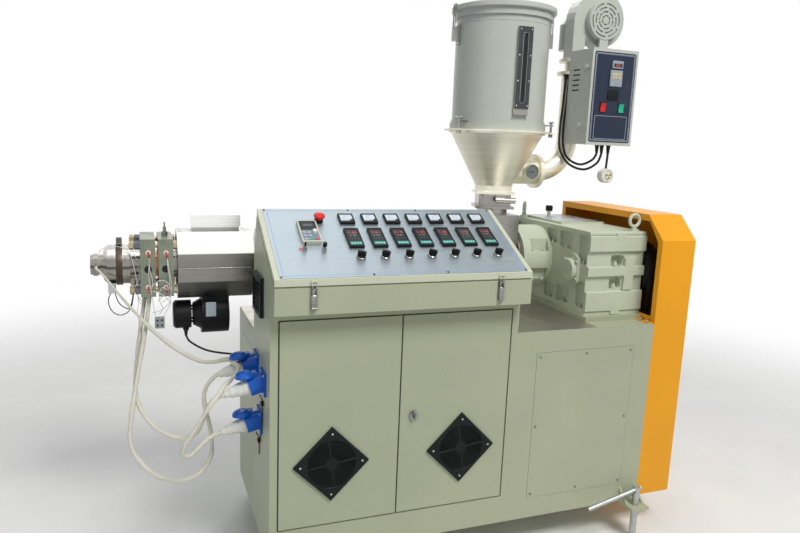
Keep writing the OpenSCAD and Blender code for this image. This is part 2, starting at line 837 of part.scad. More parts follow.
gland_l = 12;
strap_l = 18;
module die_head() color(steel) {
  at(plate_a_x, axis_y, axis_z) rotate([0, -90, 0]) {
    difference() {
      union() {
        cylinder(d = die_d * 0.82, h = 30);
        translate([0, 0, 30]) cylinder(d = die_d, h = die_l - 42);
        translate([0, 0, die_l - 12]) cylinder(d1 = die_d, d2 = die_d * 0.8, h = 12);
        translate([0, 0, die_l]) cylinder(d = nozzle_d, h = nozzle_l);
        translate([0, 0, die_l + nozzle_l * 0.4]) cylinder(d = nozzle_d + 8, h = nozzle_l * 0.4);
      }
      translate([0, 0, -1]) cylinder(d = nozzle_bore, h = die_l + nozzle_l + 2);
    }
    // The heater's strap and the ears of its clamp bolt
    translate([0, 0, 55]) tube(die_d + 8, die_d - 2, strap_l);
    for (e = [-10, 4]) translate([die_d / 2, e, 55]) cube([24, 6, strap_l]);
    translate([die_d / 2 + 14, -18, 55 + strap_l / 2]) rod_y(9, 36);
  }
  // The gland of the nozzle heater's lead
  at(plate_a_x - die_l - nozzle_l / 2, axis_y - nozzle_d / 2 - gland_l, axis_z) rod_y(20, gland_l + 4);
}

// Feed end
module feed_throat() color(cast_paint) {
  difference() {
    union() {
      at(throat_x, axis_y - throat_w / 2, axis_z - throat_drop)
        cube([throat_l, throat_w, throat_top - axis_z + throat_drop]);
      at(throat_x + throat_l, axis_y, axis_z) rod_x(210, bell_x - throat_x - throat_l);
    }
    at(throat_x - 1, axis_y, axis_z) rod_x(45, bell_x - throat_x + 2);
    at(hop_x, axis_y, axis_z) cylinder(d = 60, h = throat_top - axis_z + 1);
  }
}

module bell_housing() color(cream) difference() {
  at(bell_x, axis_y, axis_z) rod_x(bell_d, bell_l);
  at(bell_x - 1, axis_y, axis_z) rod_x(45, 60);
  for (wz = [-58, 58], side = [-1, 1])
    at(bell_x + 34, axis_y + side * bell_d / 2 - 30, axis_z + wz - 25) cube([80, 60, 50]);
}

// Gearbox: a ribbed casting. Its front and back are stepped into bands with grooves between them.
gear_foot = 12;
groove_t = 13;
band_edge = 5;
ledge = 6;
gear_bands = [[gear_foot, 92], [145, 186], [238, gear_h - 13]];
module gear_profile() {
  front = concat(
    [[ledge, 0], [ledge, gear_foot]],
    [for (b = gear_bands) each [
      [groove_t, b[0]], [band_edge, b[0] + 1], [0, b[0] + band_edge],
      [0, b[1] - band_edge], [band_edge, b[1] - 1], [groove_t, b[1]]
    ]],
    [[ledge, gear_h - 12], [ledge, gear_h - 3], [ledge + 3, gear_h]]
  );
  n = len(front);
  polygon(concat(front, [for (i = [n - 1:-1:0]) [gear_l - front[i][0], front[i][1]]]));
}

// A rectangle with rounded corners, from one corner
module slab(w, h, r) {
  translate([r, 0]) square([w - 2 * r, h]);
  translate([0, r]) square([w, h - 2 * r]);
  for (x = [r, w - r], y = [r, h - r]) translate([x, y]) circle(r = r);
}

// Each pocket on the end face: from and to along the face, from and to up it
end_pockets = [
  [14, 75, 190, 298], [112, 203, 232, 298], [214, 291, 244, 298],
  [14, 75, 24, 124], [112, 203, 24, 84], [214, 291, 24, 80],
  [438, 531, 190, 298], [438, 531, 24, 124]
];
// Each pocket in the grooves of the front: from and to up it
groove_pockets = [[183, 226], [98, 142]];
rib_x = 163;
rib_w = 42;
tab_x = 115;
tab_w = 40;

module gearbox_housing() color(cast_paint) {
  at(gear_x, gear_y, gear_z) difference() {
    union() {
      along_x(gear_w) gear_profile();
      // The cross rib over the middle band, and the tabs at the top and the foot
      translate([rib_x, 0, 94]) cube([rib_w, groove_t + 1, 122]);
      translate([rib_x - 8, 2, 214]) cube([rib_w + 16, groove_t, 10]);
      translate([tab_x, -1, gear_h - 29]) cube([tab_w, groove_t, 24]);
      translate([tab_x, -1, 2]) cube([tab_w, groove_t, 24]);
    }
    for (g = groove_pockets)
      translate([tab_x - 9, -3, g[0]]) rotate([-90, 0, 0]) translate([0, g[0] - g[1], 0])
        linear_extrude(height = 42) slab(52, g[1] - g[0], 9);
    for (r = end_pockets) translate([-1, r[0], r[2]])
      along_x(pocket_depth + 1) slab(r[1] - r[0], r[3] - r[2], 10);
  }
}

// An eyebolt, its ring turned by an angle
eye_t = 12;
eye_r = 28;
module eyebolt(turn) {
  cylinder(d = 36, h = 8);
  cylinder(d = 18, h = 20);
  translate([0, 0, 40]) rotate([90, 0, turn]) rotate_extrude()
    translate([eye_r - eye_t / 2, 0]) circle(d = eye_t);
}

gear_cover_y = 246;
cover_flat = 44;
module gearbox_fittings() color(cast_paint) {
  // The bearing cover of the input shaft, with a flat on its front side
  at(gear_x, input_y, input_z) difference() {
    rotate([0, -90, 0]) {
      cylinder(d = 122, h = 12);
      cylinder(d = 82, h = 24);
      translate([0, 0, 24]) cylinder(d1 = 82, d2 = 74, h = 5);
    }
    translate([-40, -cover_flat - 30, -70]) cube([41, 30, 140]);
  }
  // The sheet cover over the oil filler, clear of the guard
  at(gear_x + 34, gear_y + gear_cover_y, gear_z + gear_h) {
    cube([base_l - guard_gap - gear_x - 34, gear_l - gear_cover_y - 10, 8]);
    translate([78, 215, 8]) cylinder(d = 14, h = 20);
    translate([78, 215, 28]) cylinder(d = 24, h = 26);
  }
  at(base_l - eye_r - 2, gear_y + 28, gear_z + gear_h) eyebolt(0);
  at(gear_x + 14, gear_y + gear_l - 44, gear_z + gear_h) eyebolt(65);
}

// Drive: large pulley on the input shaft, small one below, two belts in one loop
drive_x = base_l + 12;
small_z = 420;
small_d = 130;
shaft_d = 50;
pulley_w = 60;
module drive_pulleys() color(dark) {
  at(gear_x + gear_w, input_y, input_z) rod_x(shaft_d, drive_x + pulley_w - gear_x - gear_w);
  at(drive_x + 20, input_y, input_z) difference() {
    rod_x(pulley_d * 0.62, pulley_w);
    translate([20, 0, 0]) rod_x(pulley_d * 0.5, pulley_w - 19);
  }
  at(base_l + 2, input_y, small_z) rod_x(shaft_d, pulley_w + 18);
  at(drive_x + 20, input_y, small_z) rod_x(small_d, pulley_w);
}

module drive_belts() color(dark) {
  big = pulley_d * 0.62 + 2 * fit;
  small = small_d + 2 * fit;
  for (b = [0, 30])
    at(drive_x + 28 + b, input_y, 0) along_x(16) difference() {
      belt_outline(big / 2 + belt_t, small / 2 + belt_t);
      belt_outline(big / 2, small / 2);
    }
}

// The outline of a belt round both pulleys, with straight runs that touch each arc
belt_t = 10;
module belt_outline(big, small) {
  steps = 24;
  lean = asin((big - small) / (input_z - small_z));
  function arc(r, z, from, to) =
    [for (i = [0:steps]) let (a = from + (to - from) * i / steps) [r * cos(a), z + r * sin(a)]];
  polygon(concat(arc(big, input_z, -lean, 180 + lean), arc(small, small_z, 180 + lean, 360 - lean)));
}

// Belt guard: a folded box, open on the side of the gearbox above the base
guard_foot = 143;
guard_gap = 3;
module guard_profile(inset = 0) {
  polygon([
    [inset, guard_foot + inset], [inset, guard_z - guard_chamfer - inset * 0.4],
    [guard_chamfer - inset * 0.4, guard_z - inset], [base_d - inset, guard_z - inset],
    [base_d - inset, guard_foot + inset]
  ]);
}

module belt_guard() color(orange) {
  guard_shell();
  // The lip that bolts to the bed in front of the gearbox
  at(base_l - 24, 6, bed_z) cube([24 + guard_t, 70, 3]);
}

module guard_shell() difference() {
  at(base_l) along_x(guard_w) guard_profile();
  at(base_l + guard_t) along_x(guard_w - 2 * guard_t) guard_profile(guard_t);
  // The open side, with a rim left round it
  at(base_l - 1) along_x(guard_t + 2) intersection() {
    guard_profile(24);
    translate([0, bed_z + 24]) square([base_d, guard_z]);
  }
  // The end of the gearbox passes through it
  at(base_l - 1, gear_y - guard_gap, gear_z - guard_gap)
    cube([guard_t + 2, gear_l + 2 * guard_gap, gear_h + 2 * guard_gap]);
  // The passage of the small pulley's shaft
  at(base_l - 1, input_y, small_z) rod_x(shaft_d + 20, guard_t + 2);
}

// Hopper neck: a pipe, a plate and a square block with rails for the slide gate, turned a little
neck_turn = -20;
neck_w = 125;
neck_plate = 150;
neck_pipe_h = 24;
gate_rail = 14;
gate_w = neck_w - 2 * gate_rail - 2;
module on_neck(z) {
  at(hop_x, hop_y, z) rotate([0, 0, neck_turn]) children();
}

module hopper_neck() color(steel) {
  difference() {
    union() {
      at(hop_x, hop_y, throat_top) cylinder(d = 120, h = neck_pipe_h + 1);
      on_neck(throat_top + neck_pipe_h) {
        translate([-neck_plate / 2, -neck_plate / 2, 0]) cube([neck_plate, neck_plate, 10]);
        translate([-neck_w / 2, -neck_w / 2, 0]) cube([neck_w, neck_w, gate_z - throat_top - neck_pipe_h]);
      }
      for (rx = [-neck_w / 2, neck_w / 2 - gate_rail])
        on_neck(gate_z) translate([rx, -neck_w / 2, 0]) cube([gate_rail, neck_w, gate_t]);
    }
    at(hop_x, hop_y, throat_top - 1) cylinder(d = 90, h = gate_z - throat_top + 2);
  }
}

module slide_gate() color(steel) on_neck(gate_z) {
  translate([-gate_w / 2, -neck_w / 2 - 24, fit]) cube([gate_w, neck_w + 20, gate_t - 2 * fit]);
  translate([-2, -neck_w / 2 - 36, -12]) {
    rod_x(22, 76);
    translate([0, 0, 8]) cube([40, 14, gate_t + 4 - fit]);
  }
}

stub_flange_d = 135;
gauge_x = 127;
clamp_ring_d = 412;
clamp_bolt_r = wall_d / 2 + 40;
clamp_ear_w = 40;
clamp_ring_t = 5;
module hopper_cone() color(cream) difference() {
  union() {
    on_neck(gate_z + gate_t) translate([-neck_plate / 2, -neck_plate / 2, 0])
      cube([neck_plate, neck_plate, 9]);
    at(hop_x, hop_y, gate_z + gate_t + 9) cylinder(d = cone_d, h = cone_z - gate_z - gate_t - 9);
    at(hop_x, hop_y, cone_z) cylinder(d1 = cone_d, d2 = wall_d, h = cone_h);
    at(hop_x, hop_y, cone_z + cone_h) cylinder(d = wall_d + 16, h = 12);
    at(hop_x, hop_y, cyl_seat_z - clamp_ring_t) {
      cylinder(d = clamp_ring_d, h = clamp_ring_t);
      for (a = cone_clamp_turns) rotate([0, 0, a + 90])
        translate([-clamp_ear_w / 2, -clamp_bolt_r - 16, 0]) cube([clamp_ear_w, 44, clamp_ring_t]);
    }
    // The thermometer's boss
    at(hop_x + gauge_x, hop_y - 60, inlet_z) rod_y(18, 20);
    at(hop_x + gauge_x, hop_y - 76, inlet_z) rod_y(56, 16);
    at(hop_x, hop_y, inlet_z) rod_x(104, stub_l);
    at(hop_x + stub_l, hop_y, inlet_z) rod_x(stub_flange_d, 8);
  }
  at(hop_x, hop_y, gate_z + gate_t - 1) cylinder(d = 100, h = cone_z - gate_z - gate_t + 2);
  at(hop_x, hop_y, cone_z) cylinder(d1 = cone_d - 6, d2 = hopper_d, h = cone_h + 0.01);
  at(hop_x, hop_y, cone_z + cone_h) cylinder(d = hopper_d, h = 13);
  at(hop_x, hop_y, inlet_z) rod_x(duct_d - 4, stub_l + 9);
}

module hopper_cylinder() color(white) {
  at(hop_x, hop_y, cyl_seat_z) difference() {
    union() {
      cylinder(d = wall_d, h = hopper_h + 20);
      cylinder(d = wall_d + 8, h = 36);
      cylinder(d = wall_d + 16, h = 25);
    }
    translate([0, 0, -1]) cylinder(d = hopper_d, h = hopper_h + 22);
  }
}

cyl_seat_z = cone_z + cone_h + 12;
lid_top_z = cyl_seat_z + hopper_h + 20;
module hopper_lid() color(white) at(hop_x, hop_y, lid_top_z) {
  difference() {
    translate([0, 0, -22]) cylinder(d = wall_d + 16, h = 24);
    translate([0, 0, -23]) cylinder(d = wall_d + 2 * fit, h = 23);
  }
  rotate_extrude() polygon([
    [0, 2], [lid_rim_d / 2 - 2, 2], [lid_rim_d / 2, 5], [lid_rim_d / 2, 19], [lid_rim_d / 2 - 3, 22],
    [lid_rim_d / 2 - 14, 22], [hopper_d * 0.4, 36], [hopper_d * 0.25, 46], [60, 50], [0, 50]
  ]);
}

sight_z = throat_top + 401;
sight_h = 288;
sight_turn = -2;
module sight_glass() color(steel) {
  at(hop_x, hop_y, sight_z) rotate([0, 0, sight_turn]) translate([0, -wall_d / 2 - fit, 0]) difference() {
    union() {
      translate([-28, -10, 0]) cube([56, 10, sight_h]);
      translate([-30, -14, -22]) cube([60, 14, 4]);
      translate([-30, -3, -22]) cube([60, 3, 23]);
    }
    translate([-9, -11, 22]) cube([18, 5, sight_h - 44]);
  }
}

// Toggle clamps: two hold the lid on the cylinder, two the cylinder on the cone
module lid_clamp() {
  seat = wall_d / 2 + fit;
  hook = lid_rim_d / 2 + fit;
  translate([-14, -seat - 6, lid_top_z - 118]) cube([28, 6, 70]);
  translate([-10, -hook - 6, lid_top_z - 108]) cube([20, hook - seat, 52]);
  for (e = [-10, 7]) translate([e, -hook - 4, lid_top_z - 62]) cube([3, 4, 84 + fit]);
  translate([-10, -hook - 4, lid_top_z + 22 + fit]) cube([20, 14, 3]);
}

// A screw on an ear, with a bar through its head and a hook over the cylinder's foot
module cone_clamp() translate([0, -clamp_bolt_r, cyl_seat_z]) {
  cylinder(d = 9, h = 44);
  translate([0, 0, -clamp_ring_t - fit - 12]) cylinder(d = 16, h = 12);
  translate([-19, 0, 40]) rod_x(8, 38);
  translate([-9, -7, 25 + fit]) cube([18, 7 + clamp_bolt_r - wall_d / 2 - 4 - 2 * fit, 6]);
}

lid_clamp_turns = [-184, -8];
cone_clamp_turns = [-158, -14];
module hopper_clamps() color(steel) {
  for (a = lid_clamp_turns) at(hop_x, hop_y, 0) rotate([0, 0, a + 90]) lid_clamp();
  for (a = cone_clamp_turns) at(hop_x, hop_y, 0) rotate([0, 0, a + 90]) cone_clamp();
}

// Hot-air duct: elbow, riser and flanges
module air_duct() color(cream) {
  x0 = hop_x + stub_l + 8;
  riser_z = inlet_z + bend_r;
  at(x0, hop_y, inlet_z) rod_x(stub_flange_d, 8);
  at(x0 + 8, hop_y, riser_z) rotate([90, 0, 0]) rotate([0, 0, 270])
    rotate_extrude(angle = 90) translate([bend_r, 0]) circle(d = duct_d);
  at(duct_x, hop_y, riser_z) cylinder(d = duct_d, h = collar_z - riser_z);
  at(duct_x, hop_y, collar_z) duct_collar(120);
  at(duct_x, hop_y, collar_z + collar_t) cylinder(d = 62, h = outlet_z - collar_z - 2 * collar_t);
  at(duct_x, hop_y, outlet_z - collar_t) duct_collar(110);
}

// A collar of the duct, cut flat where it meets the control box
module duct_collar(d) difference() {
  cylinder(d = d, h = collar_t);
  translate([-d, box_back - hop_y + fit - d, -1]) cube([2 * d, d, collar_t + 2]);
}

// Blower: a snail housing that widens as it turns to its outlet, which points down
motor_d = 152;
motor_l = 32;
module volute_profile() {
  steps = 24;
  left = -volute_r - volute_grow;
  polygon(concat(
    [for (i = [0:steps])
      let (a = -90 + 270 * i / steps, r = volute_r + volute_grow * i / steps) [r * cos(a), r * sin(a)]],
    [[left, outlet_z - blower_z], [left + outlet_w, outlet_z - blower_z], [left + outlet_w, -70]]
  ));
}

// The motor's round cap, with rings of slots that let its air in
module motor_cap() {
  rotate([90, 0, 0]) difference() {
    union() {
      cylinder(d = motor_d - 4, h = motor_l);
      translate([0, 0, motor_l - 14]) cylinder(d1 = motor_d, d2 = motor_d, h = 9);
      translate([0, 0, motor_l - 5]) cylinder(d1 = motor_d, d2 = motor_d - 12, h = 5);
    }
    for (r = [0:3], a = [0:5]) rotate([0, 0, 60 * a + 15 * r])
      translate([0, 0, motor_l - 7]) rotate_extrude(angle = 47, $fn = 24)
        translate([14 + 15 * r, 0]) square([5.5, 9]);
  }
}

module dryer_blower() color(white) {
  front = hop_y - volute_t / 2;
  at(blower_x, front + volute_t, blower_z) rotate([90, 0, 0])
    linear_extrude(height = volute_t) volute_profile();
  at(blower_x, front, blower_z) motor_cap();
  // The inlet with its filter behind, and a foot on the control box
  at(blower_x, front + volute_t, blower_z) rod_y(90, 40);
  at(filter_x, front + volute_t + 62, blower_z - 105) cylinder(d = filter_d, h = 100);
  at(filter_x, front + volute_t + 62, blower_z - 5) cylinder(d1 = filter_d, d2 = filter_d * 0.6, h = 22);
  at(filter_x, front + volute_t + 20, blower_z - 30) cube([blower_x - filter_x, 44, 50]);
  at(blower_x - 20, box_back - 14, box_z0 + box_h) cube([40, 12, blower_z - box_z0 - box_h - 70]);
}

filter_x = blower_x - 56;
filter_d = 90;

// Control box with its hinged door in front
box_door_t = 14;
box_louvre_y = 62;
box_catches = [[301, 1764], [322, 1545]];
module dryer_box() color(white) {
  at(box_x, box_y + box_door_t, box_z0) difference() {
    cube([box_w, box_d - box_door_t, box_h]);
    translate([2, -1, 2]) cube([box_w - 4, box_d - box_door_t - 1, box_h - 4]);
    // Louvres in both sides
    for (i = [0:4]) translate([-1, box_louvre_y, 202 + 19 * i]) cube([box_w + 2, 44, 5]);
  }
  // The two catches on the left side
  for (k = box_catches) at(box_x - 8, k[0], k[1]) {
    rod_x(20, 8);
    translate([-3, -2, -10]) cube([4, 4, 20]);
  }
  // The saddle that carries it on the duct
  at(duct_x, hop_y, box_z0 + 90) difference() {
    translate([-25, box_back - hop_y - 1, 0]) cube([50, hop_y - box_back - 20, 20]);
    translate([0, 0, -1]) cylinder(d = duct_d + 2 * riser_gap, h = 22);
  }
}

module dryer_box_door() color(white) {
  at(box_x - 1, box_y, box_z0 - 2) difference() {
    cube([box_w + 2, box_door_t - fit, box_h + 4]);
    translate([8, 2, 8]) cube([box_w - 14, box_door_t, box_h - 12]);
  }
}

// Plugs in the sockets
module heater_plugs() color("white") {
  for (s = sockets) at_socket(s) translate([0, 0, plug_seat]) rotate_extrude() polygon([
    [0, 0], [plug_d / 2, 0], [plug_d / 2, plug_l * 0.45], [plug_d * 0.46, plug_l * 0.48],
    [plug_d * 0.46, plug_l * 0.6], [plug_d * 0.36, plug_l * 0.78], [plug_d * 0.36, plug_l * 0.86],
    [plug_d * 0.24, plug_l], [0, plug_l]
  ]);
}

// Cord routes, by points from the gland to the far end
route_a = [
  [-487, 417.6, 1018], [-487, 398, 1016], [-462, 384, 990], [-400, 375, 905], [-320, 362, 809],
  [-240, 330, 745], [-180, 304, 714], [-135, 290, 711], [-99, 276, 721], [-82.5, 240, 727.3],
  [-77.5, 208, 728.2], [-68, 186, 719], [-92, 150, 698], [-122, 100, 693], [-148, 74, 668],
  [-175, 62, 638], [-228, 74, 546], [-247, 84, 508], [-247, 100, 478], [-222, 118, 470],
  [-192, 136, 490], [-164, 150, 506], [-134.9, 163, 511.9], [-114.6, 163, 517.4]
];
route_b = [
  [-331, 400, 922.6], [-331, 400, 900], [-342, 386, 820], [-366, 350, 700], [-392, 290, 562],
  [-400, 270, 480], [-384, 256, 424], [-340, 245, 368], [-288, 240, 336], [-235, 238, 328],
  [-180, 238, 354], [-150, 238, 410], [-151, 237, 484], [-165, 236, 559], [-172, 235.5, 610],
  [-162, 235, 650], [-133.6, 235, 682.3], [-114.6, 235, 687.4]
];
route_c = [
  [-345, 430, 922.6], [-345, 430, 900], [-362, 396, 790], [-380, 350, 640], [-370, 310, 574],
  [-335, 280, 520], [-288, 250, 490], [-237, 222, 482], [-201, 196, 508], [-180, 170, 560],
  [-167, 138, 614], [-152, 110, 648], [-133.6, 95, 663.3], [-114.6, 95, 668.4]
];
route_lead_outer = [
  [1244, 436, 1744.6], [1244, 436, 1715], [1238, 432, 1620], [1231, 429, 1530], [1234, 422, 1450],
  [1262, 395, 1396], [1304, 352, 1377], [1340, 322, 1402], [1353, 313.5, 1440], [1353, 313.5, 1475.2]
];
route_lead_inner = [
  [1256, 429, 1744.6], [1256, 429, 1715], [1251, 427, 1640], [1245, 427, 1540], [1248, 424, 1470],
  [1262, 406, 1419], [1293, 365, 1396], [1322, 330, 1414], [1333, 317, 1441], [1333, 317, 1475.2]
];
route_plug_lead = [[1376.6, 304, 1475.2], [1376.6, 304, 1431], [1374, 304, 1385]];
route_blower = [
  [-212, 443, 786.6], [-212, 443, 766], [-196, 430, 742], [-140, 403, 716], [-50, 386, 702],
  [-0.8, 385, 700]
];

// A tube of d along a route, as one polyhedron with a ring at every point
module cord(route, d, sides = 8) {
  n = len(route);
  function tangent(i) =
    let (t = route[min(i + 1, n - 1)] - route[max(i - 1, 0)]) t / norm(t);
  function side(t) = let (s = cross(t, [0, 1, 0])) s / norm(s);
  function ring(i) =
    let (t = tangent(i), u = side(t), v = cross(t, u))
    [for (k = [0:sides - 1])
      route[i] + d / 2 * (cos(360 * k / sides) * u + sin(360 * k / sides) * v)];
  points = [for (i = [0:n - 1]) each ring(i)];
  walls = [for (i = [0:n - 2], k = [0:sides - 1])
    let (a = i * sides + k, b = i * sides + (k + 1) % sides)
    each [[a, b, b + sides], [a, b + sides, a + sides]]];
  start = [for (k = [sides - 1:-1:0]) k];
  end = [for (k = [0:sides - 1]) (n - 1) * sides + k];
  at() polyhedron(points = points, faces = concat([start], walls, [end]));
}

cable_d = 14;
lead_d = 9;
module heater_cable_a() color(cream) cord(route_a, cable_d);
module heater_cable_b() color(cream) cord(route_b, cable_d);
module heater_cable_c() color(cream) cord(route_c, cable_d);
module dryer_lead_outer() color(dark) cord(route_lead_outer, lead_d);
module dryer_lead_inner() color(dark) cord(route_lead_inner, lead_d);
module dryer_plug_lead() color(dark) cord(route_plug_lead, lead_d);
module blower_lead() color(dark) cord(route_blower, 7);

module dryer_plug() color("white") {
  at(1374, 304 - 14, 1356.6) rod_y(56, 28);
}

base_frame();
base_panels();
base_top_sheet();
jack_screws();
cabinet_shell();
door_left();
door_right();
fan_guard_left();
fan_guard_right();
door_lock();
side_vent();
console_lid();
panel_plate();
panel_meters();
temperature_controllers();
selector_switches();
panel_controls();
console_latches();
heater_sockets();
barrel();
barrel_hood();
hood_vent();
cooling_blower();
barrel_support();
die_clamp_plates();
die_bolts();
die_head();
feed_throat();
bell_housing();
gearbox_housing();
gearbox_fittings();
belt_guard();
drive_pulleys();
drive_belts();
hopper_neck();
slide_gate();
hopper_cone();
hopper_cylinder();
hopper_lid();
sight_glass();
hopper_clamps();
air_duct();
dryer_blower();
dryer_box();
dryer_box_door();
heater_plugs();
heater_cable_a();
heater_cable_b();
heater_cable_c();
dryer_lead_outer();
dryer_lead_inner();
dryer_plug_lead();
dryer_plug();
blower_lead();
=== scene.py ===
# %% [markdown]
# # A plastic extruder, dressed for its portrait
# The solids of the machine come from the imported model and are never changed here. This lesson
# gives them their finishes and adds what is too fine for the solids: dial faces, digits, screws,
# wires and woven sleeves. Everything is in metres, in the machine's own frame: X runs from the
# die to the belt guard, the doors open towards -Y, and the floor is at Z = 0.

# %% Load the machine
import json
import math
import bpy
import numpy as np
from mathutils import Matrix, Vector


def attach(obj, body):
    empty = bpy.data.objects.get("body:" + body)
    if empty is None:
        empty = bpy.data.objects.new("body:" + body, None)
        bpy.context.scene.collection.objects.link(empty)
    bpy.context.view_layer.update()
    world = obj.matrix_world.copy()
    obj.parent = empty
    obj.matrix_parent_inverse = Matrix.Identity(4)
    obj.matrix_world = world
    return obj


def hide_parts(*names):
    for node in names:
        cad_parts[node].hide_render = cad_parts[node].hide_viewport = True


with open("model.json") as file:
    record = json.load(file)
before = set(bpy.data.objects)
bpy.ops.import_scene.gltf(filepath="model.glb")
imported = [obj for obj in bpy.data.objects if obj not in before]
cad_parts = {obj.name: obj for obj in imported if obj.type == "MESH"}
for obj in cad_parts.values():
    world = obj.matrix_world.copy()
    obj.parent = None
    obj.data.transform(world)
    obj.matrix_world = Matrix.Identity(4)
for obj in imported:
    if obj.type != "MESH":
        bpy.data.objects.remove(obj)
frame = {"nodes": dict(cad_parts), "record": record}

scene = bpy.context.scene
scene.view_settings.view_transform = "Standard"
nodes = frame["nodes"]
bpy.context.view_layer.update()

# %% [markdown]
# ## Camera
# The picture was taken from in front of the cabinet's left half, at head height, turned a little
# to the right. A camera is a matrix: its columns are the directions to the right, up and
# backwards, and its place. The three angles, the place and the focal length were fitted to the
# machine's long edges in the picture.

# %% Camera
PICTURE_WIDTH = 800
FOCAL_PIXELS = 688.14
FILM_WIDTH = 36.0
EYE_PLACE = (-0.890, -2.300, 1.451)
YAW, PITCH, ROLL = 0.3673, 0.1772, -0.0398


def camera_matrix(place, yaw, pitch, roll):
    """Forward is (sin yaw cos pitch, cos yaw cos pitch, -sin pitch); right and down are turned
    about it by the roll."""
    level = math.cos(pitch)
    ahead = np.array([math.sin(yaw) * level, math.cos(yaw) * level, -math.sin(pitch)])
    right = np.array([math.cos(yaw), -math.sin(yaw), 0.0])
    down = np.cross(ahead, right)
    c, s = math.cos(roll), math.sin(roll)
    columns = np.eye(4)
    columns[:3, 0] = c * right + s * down
    columns[:3, 1] = s * right - c * down
    columns[:3, 2] = -ahead
    columns[:3, 3] = place
    return Matrix(columns.tolist())


eye = bpy.data.cameras.new("camera")
eye.sensor_width = FILM_WIDTH
eye.lens = FOCAL_PIXELS / PICTURE_WIDTH * FILM_WIDTH
camera = bpy.data.objects.new("camera", eye)
scene.collection.objects.link(camera)
camera.matrix_world = camera_matrix(EYE_PLACE, YAW, PITCH, ROLL)
scene.camera = camera
print(f"lens {eye.lens:.2f} mm")

# %% [markdown]
# ## Shader sums
# A material is a graph, and a graph is tedious to write as boxes and links. Wrapping a socket in
# a small class turns it back into sums: adding or multiplying two wires adds the Math node that
# does it. Every other node comes from one method, which sets the node's options first.

# %% A wire is a number that varies
class Wire:
    """A number that varies over a surface. Sums on wires add Math nodes."""

    def __init__(self, finish, socket):
        self.finish, self.socket = finish, socket

    def sum(self, how, *others):
        """The Math node of that name, with this wire first."""
        inputs = {i: value for i, value in enumerate((self, *others))}
        return self.finish.node("ShaderNodeMath", {"operation": how}, inputs)

    def __add__(self, other):
        return self.sum("ADD", other)

    def __radd__(self, other):
        return self.sum("ADD", other)

    def __mul__(self, other):
        return self.sum("MULTIPLY", other)

    def __rmul__(self, other):
        return self.sum("MULTIPLY", other)

    def __sub__(self, other):
        return self.sum("SUBTRACT", other)

    def __rsub__(self, other):
        return self.finish.node("ShaderNodeMath", {"operation": "SUBTRACT"}, {0: other, 1: self})

    def above(self, low, high):
        """0 below low, 1 above high, smooth between."""
        return self.finish.node("ShaderNodeMapRange", {"interpolation_type": "SMOOTHSTEP"},
                                {"Value": self, "From Min": low, "From Max": high})


print("sums on wires add Math nodes")

# %% A finish is a surface and what feeds it
def fill_ramp(ramp, stops):
    """Gives a ramp its grey stops, each a place from 0 to 1 and a level. The first two are the
    ramp's two ends, and the rest are added between them."""
    for place, level in stops[2:]:
        ramp.elements.new(place).color = (level, level, level, 1)
    for element, (place, level) in zip((ramp.elements[0], ramp.elements[-1]), stops[:2]):
        element.position, element.color = place, (level, level, level, 1)


class Finish:
    """A material with one Principled surface."""

    def __init__(self, name):
        self.material = bpy.data.materials.new(name)
        self.material.use_nodes = True
        self.tree = self.material.node_tree
        self.surface = self.tree.nodes["Principled BSDF"]

    def link(self, socket, value):
        """Joins a wire to a socket, or sets the socket to a number or a colour."""
        if isinstance(value, Wire):
            self.tree.links.new(value.socket, socket)
        elif isinstance(value, (tuple, list)) and len(value) == 3 and socket.type == "RGBA":
            socket.default_value = (*value, 1.0)
        else:
            socket.default_value = value

    def node(self, kind, settings=None, sockets=None, out=0):
        """A node of one kind: its settings first, then its sockets, and one output as a wire."""
        made = self.tree.nodes.new(kind)
        for key, value in (settings or {}).items():
            if key == "stops":
                fill_ramp(made.color_ramp, value)
            else:
                setattr(made, key, value)
        for key, value in (sockets or {}).items():
            self.link(made.inputs[key], value)
        return Wire(self, made.outputs[out])

    def place(self, scale=(1, 1, 1)):
        """The machine's own coordinates, stretched along each axis."""
        where = self.node("ShaderNodeTexCoord", out="Object")
        return self.node("ShaderNodeMapping", None, {"Vector": where, "Scale": scale})

    def height(self, low, high, axis=2):
        """0 at height low and below, 1 at height high and above, in metres over the floor, or
        along another axis."""
        where = self.node("ShaderNodeTexCoord", out="Object")
        value = self.node("ShaderNodeSeparateXYZ", None, {"Vector": where}, out=axis)
        return self.node("ShaderNodeMapRange", None,
                         {"Value": value, "From Min": low, "From Max": high})

    def noise(self, scale, detail=3.0, rough=0.55, at=None):
        """A cloudy number around a half, at so many clouds to the metre."""
        at = at or self.place()
        return self.node("ShaderNodeTexNoise", None,
                         {"Vector": at, "Scale": scale, "Detail": detail, "Roughness": rough})

    def blend(self, factor, a, b):
        """Colour a where factor is 0 and b where it is 1."""
        made = self.tree.nodes.new("ShaderNodeMix")
        made.data_type = "RGBA"
        factor_input, a_input, b_input, colour_output = 0, 6, 7, 2
        for index, value in ((factor_input, factor), (a_input, a), (b_input, b)):
            self.link(made.inputs[index], value)
        return Wire(self, made.outputs[colour_output])

    def bump(self, height, strength, distance):
        """Tilts the surface as if it rose by that height times the distance in metres."""
        return self.node("ShaderNodeBump", None,
                         {"Height": height, "Strength": strength, "Distance": distance})

    def set(self, **values):
        """Sets the surface's sockets; an underscore stands for a space."""
        for key, value in values.items():
            self.link(self.surface.inputs[key.replace("_", " ")], value)
        return self


finishes = {}


def keep(name, finish):
    """Puts a finish on the shelf under its name."""
    finishes[name] = finish.material
    return finish.material


def shade(colour, share):
    """The colour, darkened to that share."""
    return tuple(c * share for c in colour)


print("a finish is one Principled surface and the sums that feed it")

